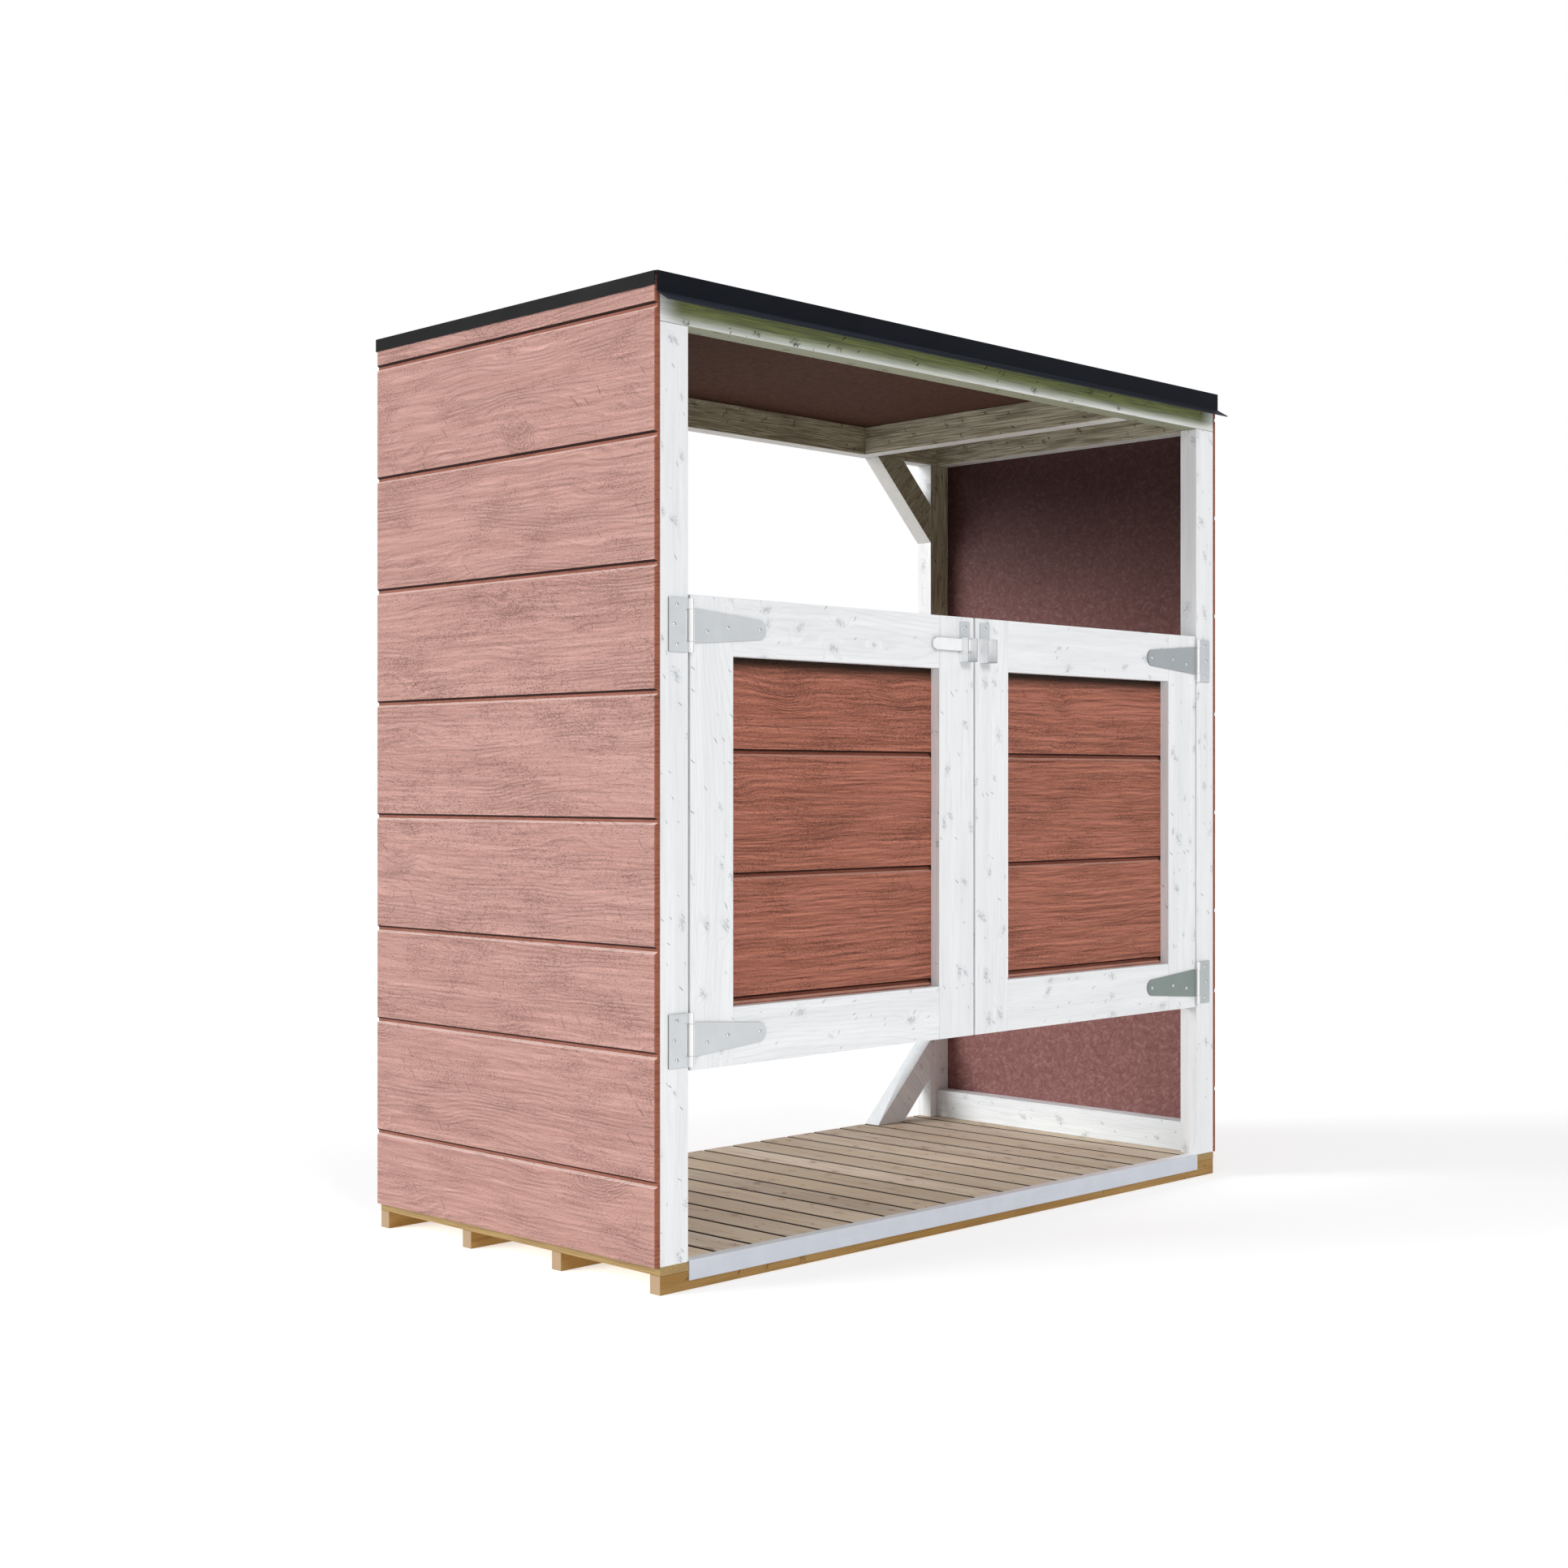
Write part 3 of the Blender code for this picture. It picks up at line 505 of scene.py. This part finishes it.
def embossed_pattern(recipe, along, z, tops, palette):
    """Boards pressed into a sheet: fibres, flowing ridges, pores and short cracks."""
    board = 0.0
    for top in tops:
        board = recipe.plus(recipe.math("GREATER_THAN", z, top - 0.007), board)
    shifted = recipe.math("MULTIPLY_ADD", board, BOARD_SHIFT[0], along)
    place = recipe.join(shifted, z, recipe.times(board, BOARD_SHIFT[1]))
    wobble = recipe.remap(recipe.noise(place, (30.0, 60.0, 1.0)), 0.0, 1.0, -0.6, 0.6, soft=False)
    whorl = recipe.spots(shifted, z, (0.30, 0.20), 0.34, (0.024, 0.012), (-0.9, 0.4), wobble)
    around = recipe.remap(whorl, 5.0, 0.0)
    bend = recipe.noise(place, (2.0, 7.5, 1.0), detail=2.5, roughness=0.45)
    rings = recipe.plus(recipe.times(z, 74.0), recipe.times(bend, 13.0), recipe.times(around, 5.5))
    shown = recipe.remap(recipe.noise(place, (2.6, 9.0, 1.0), detail=2.0), 0.40, 0.55)
    shown = recipe.math("MAXIMUM", shown, recipe.remap(whorl, 4.6, 2.6))
    # painted highlight on each ridge's crest, and painted shade just below it
    crest = recipe.remap(recipe.math("PINGPONG", rings, 0.5), 0.33, 0.5)
    below = recipe.math("PINGPONG", recipe.plus(rings, 0.26), 0.5)
    crest = recipe.times(crest, shown)
    below = recipe.times(recipe.remap(below, 0.34, 0.5), shown)
    # painted highlight and shade of the pressed relief, as it would catch light from above
    sway = palette["sway"]
    flow = recipe.plus(z, recipe.times(bend, sway), recipe.times(around, 0.5 * sway))
    levels = []
    for rise in (-EMBOSS_STEP, EMBOSS_STEP):
        spot = recipe.join(shifted, recipe.plus(flow, rise), recipe.times(board, BOARD_SHIFT[1]))
        levels.append(recipe.noise(spot, (5.5, 92.0, 1.0), detail=3.0, roughness=0.62))
    slope = recipe.math("SUBTRACT", *levels)
    fibre = recipe.noise(place, (8.0, 430.0, 1.0), detail=4.0, roughness=0.75)
    streak = recipe.noise(place, (2.0, 60.0, 1.0), detail=3.0, roughness=0.6)
    patch = recipe.noise(place, (6.0, 15.0, 1.0), detail=4.0, roughness=0.6)
    grit = recipe.noise(place, (260.0, 520.0, 1.0), detail=2.0, roughness=0.7)
    speck = recipe.noise(place, (170.0, 460.0, 1.0), detail=2.0, roughness=0.6)
    worn = recipe.remap(recipe.plus(speck, recipe.times(patch, 0.45)), 0.82, 0.92)
    crack = recipe.spots(shifted, z, (0.034, 0.060), 0.4, (0.021, 0.0009), (-1.1, -0.7), wobble)
    torn = recipe.remap(recipe.noise(place, (3.1, 7.0, 1.0), detail=1.0), 0.58, 0.64)
    crack = recipe.times(recipe.remap(crack, 1.3, 0.4), torn)
    streak = recipe.remap(streak, 0.35, 0.65, 0.1, 0.8)
    colour = recipe.mix(streak, palette["stain"], palette["light"])
    colour = recipe.mix(recipe.remap(patch, 0.44, 0.72, 0.0, 0.16), colour, palette["dark"])
    tone = recipe.plus(
        recipe.remap(fibre, 0.3, 0.7, 1.16, 0.83, soft=False),
        recipe.remap(grit, 0.25, 0.75, 0.22, -0.22, soft=False),
        recipe.times(crest, palette["ridges"]), recipe.times(below, -0.8 * palette["ridges"]),
        recipe.times(slope, palette["relief"]),
    )
    colour = recipe.shade(colour, tone)
    colour = recipe.mix(recipe.times(worn, 0.30), colour, palette["pore"])
    colour = recipe.mix(recipe.times(crack, 0.30), colour, palette["pore"])
    height = recipe.plus(
        recipe.times(crest, 0.7), recipe.times(levels[0], 1.2),
        recipe.times(fibre, 0.35), recipe.times(grit, 0.25),
        recipe.times(worn, -0.5), recipe.times(crack, -0.7),
    )
    return colour, height, fibre


def sheet(node, run, outward, palette, shadow_below=None):
    """A moulded sheet: embossed boards outside, pressed flakes inside, bare edges.

    run is the axis the boards lie along and outward the sign of the outer face on
    the other one. The last argument is the height of a rail that hangs over the face,
    under which a painted shadow is laid.
    """
    recipe = Recipe(node, specular=0.12)
    place = recipe.split(recipe.position())
    facing = recipe.split(recipe.facing())
    z = place[2]
    along = recipe.times(place[run], outward if run else -outward)
    out = recipe.times(facing[1 - run], outward)
    low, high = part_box(node)
    colour, height, fibre = embossed_pattern(recipe, along, z, groove_tops(node), palette)
    # painted shade: a groove is darkest under its upper lip, and faces turned down are painted near
    # black; a painted highlight lies along its lower lip, which faces up
    up = facing[2]
    face = (high if outward > 0 else low)[1 - run]
    sunk = recipe.math("ABSOLUTE", recipe.math("SUBTRACT", place[1 - run], face))
    sunk = recipe.times(recipe.remap(sunk, 0.0045, 0.0058), recipe.remap(out, 0.6, 0.9))
    colour = recipe.mix(recipe.times(sunk, 0.8), colour, palette["groove"])
    colour = recipe.mix(recipe.times(recipe.remap(up, 0.2, 0.5), 0.85), colour, palette["lip"])
    overhang = recipe.remap(up, -0.25, -0.6)
    colour = recipe.mix(recipe.times(overhang, 0.96), colour, DEEP_SHADE)
    # bare board on the upright edges, darkest on the chamfer
    end = recipe.math("ABSOLUTE", facing[run])
    layers = recipe.noise(recipe.join(*place), (900.0, 60.0, 60.0) if run else (60.0, 900.0, 60.0))
    bare = recipe.mix(recipe.remap(layers, 0.3, 0.7), palette["edge"], palette["groove"])
    colour = recipe.mix(recipe.remap(end, 0.5, 0.9), colour, bare)
    chamfer = recipe.remap(recipe.times(end, out), 0.2, 0.4)
    colour = recipe.mix(recipe.times(chamfer, 0.8), colour, palette["groove"])
    if shadow_below is not None:
        # painted shadow under the rail
        near = recipe.remap(z, shadow_below - 0.040, shadow_below - 0.004)
        colour = recipe.mix(recipe.times(near, 0.97), colour, RAIL_SHADE)
    # painted light and shade: the inside is darker under the roof, and just over the deck
    inner, inner_height = strand_pattern(recipe, along, z, INSIDE_RED)
    inner = recipe.shade(inner, recipe.remap(z, 0.95, 1.8, 1.60, 0.30))
    inner = recipe.shade(inner, recipe.remap(z, 0.35, 1.1, 0.78, 1.0))
    inside = recipe.remap(out, -0.3, -0.8)
    colour = recipe.mix(inside, colour, inner)
    height = recipe.plus(
        recipe.times(height, recipe.math("SUBTRACT", 1.0, inside)),
        recipe.times(inner_height, inside, 0.5),
    )
    gloss = recipe.remap(fibre, 0.3, 0.7, 0.52, 0.66, soft=False)
    return recipe.finish(colour, gloss, height, EMBOSS_DEPTH)


def ceiling(name):
    """The roof board's underside, pressed flakes under a thin coat, darker on the left."""
    recipe = Recipe(name, specular=0.02)
    x, y, _ = recipe.split(recipe.position())
    colour, height = strand_pattern(recipe, x, y, CEILING)
    colour = recipe.shade(colour, recipe.remap(x, -0.8, -0.1, 0.80, 1.0))
    return recipe.finish(colour, 0.8, height)


# ---------------------------------------------------------------- metals and roofing
def brushed(name, colour, lines, roughness, metallic=1.0, tint=None):
    """Sheet metal with fine lines brushed into it; tint changes its colour by place."""
    recipe = Recipe(name, metallic, specular=0.5)
    place = recipe.position()
    fine = recipe.noise(place, lines, detail=3.0, roughness=0.7)
    cloud = recipe.noise(place, (26.0, 26.0, 26.0), detail=3.0)
    shade = recipe.plus(
        recipe.remap(fine, 0.3, 0.7, 0.95, 1.03, soft=False),
        recipe.remap(cloud, 0.3, 0.7, -0.03, 0.03, soft=False),
    )
    gloss = recipe.remap(fine, 0.3, 0.7, roughness - 0.06, roughness + 0.08, soft=False)
    if tint is not None:
        colour = tint(recipe, colour)
    return recipe.finish(recipe.shade(colour, shade), gloss, fine, 0.00004)


# plate and strap; the hinges on the right are darker, the lower one most
HINGE_COLOURS = {
    ("left", "upper"): ((0.66, 0.69, 0.71), (0.64, 0.67, 0.69)),
    ("left", "lower"): ((0.66, 0.69, 0.71), (0.64, 0.67, 0.69)),
    ("right", "upper"): ((0.62, 0.65, 0.68), (0.41, 0.44, 0.46)),
    ("right", "lower"): ((0.49, 0.53, 0.54), (0.24, 0.29, 0.27)),
}


def hinge_tint(recipe, colour):
    """Painted highlight on the rolled knuckles round the pin, and a dark, greenish painted shadow
    on the edges everywhere else.
    """
    end = -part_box("left_upper_hinge_strap")[0].x
    front = recipe.math("ABSOLUTE", recipe.split(recipe.facing())[1])
    x = recipe.math("ABSOLUTE", recipe.split(recipe.position())[0])
    turned = recipe.remap(front, 0.995, 0.96)
    rolled = recipe.remap(x, end - 0.0125, end - 0.0115)
    rolled = recipe.times(rolled, recipe.remap(x, end + 0.0016, end + 0.0006))
    # painted highlight on the knuckles, painted shadow on the other edges
    shown = recipe.mix(rolled, (0.17, 0.19, 0.16), (0.98, 0.98, 0.98))
    return recipe.mix(turned, colour, shown)


def painted_light_top(recipe, colour):
    """The threshold's tread, made bright with painted light."""
    up = recipe.split(recipe.facing())[2]
    return recipe.mix(recipe.remap(up, 0.3, 0.7), colour, (0.95, 0.96, 0.99))


def latch_tint(recipe, colour):
    """Grey back plates and bright ears, with painted shadow on the ears' thin fronts and on faces
    turned up or down.
    """
    low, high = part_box("left_latch_bracket")
    _, y, z = recipe.split(recipe.position())
    _, toward, up = recipe.split(recipe.facing())
    shelf = low.z + 0.6 * (high.z - low.z)
    plate = recipe.remap(z, shelf, shelf + 0.001)
    plate = recipe.times(plate, recipe.remap(y, high.y - 0.004, high.y - 0.003))
    colour = recipe.mix(plate, colour, (0.60, 0.64, 0.66))
    # painted shadow on the ears' front edges and on faces turned up or down
    edge_shadow = recipe.remap(y, low.y + 0.001, low.y + 0.0005)
    edge_shadow = recipe.times(edge_shadow, recipe.remap(toward, -0.7, -0.9))
    edge_shadow = recipe.math("MAXIMUM", edge_shadow, recipe.remap(recipe.math("ABSOLUTE", up), 0.7, 0.9))
    return recipe.mix(edge_shadow, colour, (0.33, 0.35, 0.37))


def coated(name, colour, roughness):
    """Painted sheet steel with a slightly uneven satin coat, paler on slanting folds, and with
    painted shade on faces turned to the sides.
    """
    recipe = Recipe(name, specular=0.1)
    place = recipe.position()
    peel = recipe.noise(place, (260.0, 260.0, 260.0), detail=2.0)
    cloud = recipe.noise(place, (7.0, 7.0, 7.0), detail=4.0)
    side, _, up = recipe.split(recipe.facing())
    shaded = recipe.shade(colour, recipe.remap(cloud, 0.3, 0.7, 0.85, 1.2, soft=False))
    # painted shade on faces turned to the sides
    side = recipe.remap(recipe.math("ABSOLUTE", side), 0.5, 0.9, 1.0, 0.05)
    slant = recipe.math("SUBTRACT", recipe.math("ABSOLUTE", up), 0.55)
    slant = recipe.remap(recipe.math("ABSOLUTE", slant), 0.36, 0.26)
    shaded = recipe.mix(slant, recipe.shade(shaded, side), (0.020, 0.024, 0.036))
    gloss = recipe.remap(cloud, 0.35, 0.65, roughness - 0.05, roughness + 0.08, soft=False)
    return recipe.finish(shaded, gloss, peel, 0.00003)


def felt(name):
    """Bitumen roofing felt with its mineral grains."""
    recipe = Recipe(name)
    place = recipe.position()
    grains = recipe.noise(place, (900.0, 900.0, 900.0), detail=2.0, roughness=0.8)
    cloud = recipe.noise(place, (3.0, 5.0, 3.0), detail=4.0)
    bare = recipe.remap(grains, 0.4, 0.7)
    colour = recipe.mix(bare, (0.012, 0.013, 0.015), (0.06, 0.062, 0.07))
    colour = recipe.shade(colour, recipe.remap(cloud, 0.3, 0.7, 0.8, 1.25, soft=False))
    return recipe.finish(colour, 0.93, grains, 0.0007)


# ---------------------------------------------------------------- new pieces
def show(name, solid, material, body):
    """A new piece of the object from a bmesh in the row frame."""
    mesh = bpy.data.meshes.new(name)
    solid.to_mesh(mesh)
    solid.free()
    mesh.materials.append(material)
    piece = bpy.data.objects.new(name, mesh)
    bpy.context.scene.collection.objects.link(piece)
    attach(piece, body)
    return piece


def deck_lines():
    """Edges of every deck board, the whole boards' pitch and the first one's left edge."""
    low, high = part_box("floor_deck")
    edges = [(low.x, low.x + DECK_FIRST_BOARD)]
    start = edges[0][1] + DECK_BOARD_GAP
    pitch = (high.x - start + DECK_BOARD_GAP) / (DECK_BOARDS - 1)
    for index in range(DECK_BOARDS - 1):
        left = start + index * pitch
        edges.append((left, left + pitch - DECK_BOARD_GAP))
    return edges, pitch, start


def deck_boards():
    """The deck's boards, each with rounded upper edges."""
    low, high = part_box("floor_deck")
    solid = bmesh.new()
    edges, _, _ = deck_lines()
    quarter = [math.radians(angle) for angle in DECK_EDGE_ANGLES]
    for left, right in edges:
        section = [(left, low.z), (right, low.z)]
        for angle in quarter:
            x = right - DECK_EDGE + DECK_EDGE * math.cos(angle)
            section.append((x, high.z - DECK_EDGE + DECK_EDGE * math.sin(angle)))
        for angle in reversed(quarter):
            x = left + DECK_EDGE - DECK_EDGE * math.cos(angle)
            section.append((x, high.z - DECK_EDGE + DECK_EDGE * math.sin(angle)))
        front = [solid.verts.new((x, low.y, z)) for x, z in section]
        back = [solid.verts.new((x, high.y, z)) for x, z in section]
        solid.faces.new(front)
        solid.faces.new(back[::-1])
        for index in range(len(section)):
            after = (index + 1) % len(section)
            solid.faces.new((front[index], back[index], back[after], front[after]))
    bmesh.ops.recalc_face_normals(solid, faces=solid.faces)
    return solid


DECK = {
    "wood": (0.84, 0.72, 0.56),
    "pale": (0.92, 0.82, 0.68),
    "streak": (0.38, 0.235, 0.145),
    "knot": (0.22, 0.075, 0.040),
    "contrast": 0.85,
    "knots": 0.80,
}


def deck_material(name):
    """Bare softwood boards, each cut from its own stretch of wood."""
    recipe = Recipe(name)
    _, pitch, start = deck_lines()
    x, y, z = recipe.split(recipe.position())
    board = recipe.whole(recipe.times(recipe.math("SUBTRACT", x, start), 1.0 / pitch))
    # tone and warmth are the board's own
    own = recipe.noise(recipe.join(board, 0.5, 0.5), (7.31, 1.0, 1.0), detail=0.0, output=1)
    shift = recipe.times(board, 0.731)
    place = recipe.join(recipe.plus(y, shift), recipe.plus(x, shift), recipe.plus(z, shift))
    nx, ny, nz = recipe.split(recipe.facing())
    wood = wood_pattern(recipe, place, recipe.join(ny, nx, nz), DECK)
    tone, warm, _ = recipe.split(own)
    colour = recipe.shade(wood["colour"], recipe.remap(tone, 0.3, 0.7, 0.86, 1.12, soft=False))
    colour = recipe.mix(recipe.remap(warm, 0.3, 0.7, 0.0, 0.4), colour, (0.72, 0.56, 0.38))
    # painted light and shade: the boards on the left are lighter and those on the right darker
    low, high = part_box("floor_deck")
    colour = recipe.shade(colour, recipe.remap(x, low.x, high.x, 1.24, 0.76, soft=False))
    # painted shade: the boards' sides between two boards are near black
    between = recipe.math("LESS_THAN", recipe.math("ABSOLUTE", x), high.x - 0.01)
    side = recipe.remap(recipe.math("ABSOLUTE", nx), 0.05, 0.45)
    colour = recipe.mix(recipe.times(side, between, 0.97), colour, (0.022, 0.011, 0.006))
    rim = recipe.times(side, recipe.math("SUBTRACT", 1.0, between))
    rim = recipe.math("MAXIMUM", rim, recipe.remap(recipe.math("ABSOLUTE", ny), 0.4, 0.8))
    fibre = recipe.remap(wood["fibre"], 0.35, 0.7)
    edge = recipe.mix(fibre, (0.40, 0.275, 0.115), (0.27, 0.17, 0.07))
    colour = recipe.mix(rim, colour, edge)
    return recipe.finish(colour, 0.68, wood["height"])


def add_screw(solid, centre, outward):
    """A pan-head screw with a six-sided socket, standing on a face."""
    out = Vector(outward)
    side = out.orthogonal().normalized()
    other = out.cross(side)
    rings = []
    for radius, height in SCREW_PROFILE:
        rings.append((radius * SCREW_RADIUS, height * SCREW_HEIGHT, False))
    for radius, height in ((1.0, 1.0), SCREW_FLOOR):
        rings.append((radius * SCREW_SOCKET, height * SCREW_HEIGHT, True))
    levels = []
    for radius, height, six_sided in rings:
        level = []
        for index in range(SCREW_SIDES):
            angle = math.tau * index / SCREW_SIDES
            reach = radius
            if six_sided:
                reach *= 1.0 - SCREW_FLATS * abs(math.cos(3.0 * angle))
            spot = Vector(centre) + out * height
            spot += (side * math.cos(angle) + other * math.sin(angle)) * reach
            level.append(solid.verts.new(spot))
        levels.append(level)
    for lower, upper in zip(levels, levels[1:]):
        for index in range(SCREW_SIDES):
            after = (index + 1) % SCREW_SIDES
            solid.faces.new((lower[index], lower[after], upper[after], upper[index]))
    solid.faces.new(levels[0][::-1])
    solid.faces.new(levels[-1])


def hinge_screws(side, sign):
    """Screws of one door's hinges: those of the plates, and those of the straps."""
    plates, straps = bmesh.new(), bmesh.new()
    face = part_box(f"{side}_front_post")[0].y - HINGE_FRONT
    for level in ("upper", "lower"):
        low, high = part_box(f"{side}_{level}_hinge_plate")
        strap_low, strap_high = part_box(f"{side}_{level}_hinge_strap")
        outer = (low if sign < 0 else high).x
        middle = (low.z + high.z) / 2
        for inset, rise in PLATE_SCREWS:
            add_screw(plates, (outer - sign * inset, face, middle + rise), FRONT)
        pin = (strap_low if sign < 0 else strap_high).x - sign * PIN_INSET
        for reach, rise in STRAP_SCREWS:
            add_screw(straps, (pin - sign * reach, face, middle + rise), FRONT)
    return plates, straps


def latch_screw(side):
    """The one screw near the top of a latch bracket's back plate."""
    low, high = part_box(f"{side}_latch_bracket")
    solid = bmesh.new()
    centre = ((low.x + high.x) / 2, high.y - LATCH_METAL, high.z - LATCH_SCREW_DROP)
    add_screw(solid, centre, FRONT)
    return solid


# ---------------------------------------------------------------- dress the frame
def dress(node, material):
    """Gives a CAD node its material."""
    nodes[node].data.materials.clear()
    nodes[node].data.materials.append(material)


def soften(node, width):
    """Rounds a CAD node's edges without touching its mesh."""
    weld = nodes[node].modifiers.new("weld", "WELD")
    weld.merge_threshold = WELD_DISTANCE
    bevel = nodes[node].modifiers.new("edges", "BEVEL")
    bevel.width = width
    bevel.segments = BEVEL_SEGMENTS
    bevel.limit_method = "ANGLE"
    bevel.angle_limit = BEVEL_FROM


DOOR_MEMBERS = {"hinge_stile": "z", "meeting_stile": "z", "top_rail": "x", "bottom_rail": "x"}
# painted shade: faces turned to the front, and faces turned to a side, from 0.2 m up, full at 1.35
# m
REAR_PAINTED_SHADE = ("y", SHADED, 0.2, 1.35)
SIDE_PAINTED_SHADE = ("x", SHADED_PALE, 0.2, 1.35)
TIMBERS = {
    "front_joist": ("x", HONEY, None), "middle_joist_front": ("x", HONEY, None),
    "middle_joist_rear": ("x", HONEY, None), "rear_joist": ("x", HONEY, None),
    "left_front_post": ("z", WHITE, None), "right_front_post": ("z", WHITE, None),
    "left_rear_post": ("z", WHITE, REAR_PAINTED_SHADE), "right_rear_post": ("z", WHITE, REAR_PAINTED_SHADE),
    "rear_beam": ("x", WHITE, REAR_PAINTED_SHADE), "cross_beam": ("y", WHITE, SIDE_PAINTED_SHADE),
    "left_end_beam": ("y", WHITE, SIDE_PAINTED_SHADE), "right_end_beam": ("y", WHITE, SIDE_PAINTED_SHADE),
    "left_bottom_rail": ("y", PAINTED_LIGHT_WHITE, None), "right_bottom_rail": ("y", PAINTED_LIGHT_WHITE, None),
    "left_rear_top_brace": ("falling", WHITE, REAR_PAINTED_SHADE),
    "right_rear_top_brace": ("rising", WHITE, REAR_PAINTED_SHADE),
    "left_rear_foot_brace": ("rising", PAINTED_LIGHT_WHITE, None),
    "right_rear_foot_brace": ("falling", PAINTED_LIGHT_WHITE, None),
}
for node, (grain, palette, painted_shade) in TIMBERS.items():
    dress(node, timber(node, grain, palette, painted_shade))
    soften(node, TIMBER_EDGE)
dress("front_beam", beam_with_green_shadow("front_beam"))
soften("front_beam", TIMBER_EDGE)

for side, sign in SIDES:
    for part, grain in DOOR_MEMBERS.items():
        node = f"{side}_door_{part}"
        dress(node, timber(node, grain, WHITE))
        soften(node, TIMBER_EDGE)
    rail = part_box(f"{side}_door_top_rail")[0].z
    dress(f"{side}_door_panel", sheet(f"{side}_door_panel", 0, -1, DOOR_RED, rail))
    dress(f"{side}_wall_panel", sheet(f"{side}_wall_panel", 1, sign, WALL_RED))
    soften(f"{side}_wall_panel", SHEET_EDGE)
dress("roof_board", ceiling("roof_board"))
dress("roof_covering", felt("roof_covering"))

trim = coated("black_trim", (0.0055, 0.0072, 0.0115), 0.45)
for node in ("left_roof_trim", "right_roof_trim", "front_drip_edge", "rear_roof_trim"):
    dress(node, trim)
    soften(node, TRIM_EDGE)
strip_lines = (9.0, 900.0, 900.0)
strip_metal = brushed("threshold_strip", (0.60, 0.63, 0.69), strip_lines, 0.45, 0.3, painted_light_top)
dress("threshold_strip", strip_metal)
soften("threshold_strip", SHEET_EDGE)
latch_lines = (700.0, 700.0, 30.0)
latch_metal = brushed("latch_metal", (0.93, 0.94, 0.95), latch_lines, 0.35, 0.15, latch_tint)
for side, _ in SIDES:
    for level in ("upper", "lower"):
        plate_colour, strap_colour = HINGE_COLOURS[side, level]
        plate, strap = (f"{side}_{level}_hinge_{kind}" for kind in ("plate", "strap"))
        dress(plate, brushed(plate, plate_colour, (14.0, 900.0, 1100.0), 0.48, 0.35, hinge_tint))
        dress(strap, brushed(strap, strap_colour, (1100.0, 900.0, 14.0), 0.48, 0.35, hinge_tint))
    dress(f"{side}_latch_bracket", latch_metal)
dress("latch_bar", latch_metal)

# ---------------------------------------------------------------- add the new pieces
deck = show("deck_boards", deck_boards(), deck_material("deck_boards"), "shelter")
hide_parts("floor_deck")
screw_metal = brushed("screw_metal", (0.72, 0.73, 0.75), (800.0, 800.0, 800.0), 0.3)
for side, sign in SIDES:
    plates, straps = hinge_screws(side, sign)
    pieces = (
        (f"{side}_plate_screws", plates, "shelter"),
        (f"{side}_strap_screws", straps, f"{side}_door"),
        (f"{side}_latch_screw", latch_screw(side), f"{side}_door"),
    )
    for name, solid, body in pieces:
        piece = show(name, solid, screw_metal, body)
        piece.data.shade_smooth()
        piece.data.set_sharp_from_angle(angle=SHARP_FROM)

# ---------------------------------------------------------------- stage
camera_data = bpy.data.cameras.new("camera")
camera_data.lens = LENS
camera = bpy.data.objects.new("camera", camera_data)
camera.location = EYE
camera.rotation_euler = (math.radians(90.0), 0.0, HEADING)
bpy.context.scene.collection.objects.link(camera)
bpy.context.scene.camera = camera

world = bpy.data.worlds.new("studio")
world.use_nodes = True
sky = world.node_tree
seen = sky.nodes.new("ShaderNodeLightPath").outputs["Is Camera Ray"]
level = sky.nodes.new("ShaderNodeMapRange")
level.inputs["To Min"].default_value = SKY_LIGHT
sky.links.new(seen, level.inputs["Value"])
sky.links.new(level.outputs[0], sky.nodes["Background"].inputs["Strength"])
sky.nodes["Background"].inputs["Color"].default_value = (1.0, 1.0, 1.0, 1.0)
bpy.context.scene.world = world
bpy.context.scene.view_settings.view_transform = "Standard"

for name, (source, power, softness) in LAMPS.items():
    lamp_data = bpy.data.lights.new(name, "SUN")
    lamp_data.energy = power
    lamp_data.angle = softness
    lamp = bpy.data.objects.new(name, lamp_data)
    lamp.rotation_euler = source.to_track_quat("Z", "Y").to_euler()
    bpy.context.scene.collection.objects.link(lamp)

floor_mesh = bpy.data.meshes.new("floor")
half = FLOOR_SIDE / 2
corners = [(x * half, y * half, 0.0) for x, y in ((-1, -1), (1, -1), (1, 1), (-1, 1))]
floor_mesh.from_pydata(corners, [], [(0, 1, 2, 3)])
floor = bpy.data.objects.new("floor", floor_mesh)
floor_recipe = Recipe("floor")
speckle = floor_recipe.noise(floor_recipe.position(), (40.0, 40.0, 40.0))
floor_shade = floor_recipe.remap(speckle, 0.3, 0.7, 0.985, 1.015, soft=False)
floor_mesh.materials.append(floor_recipe.finish(floor_recipe.shade(FLOOR_COLOUR, floor_shade), 0.8))
floor_recipe.shader.inputs["Emission Color"].default_value = (1.0, 1.0, 1.0, 1.0)
floor_recipe.shader.inputs["Emission Strength"].default_value = FLOOR_GLOW
bpy.context.scene.collection.objects.link(floor)
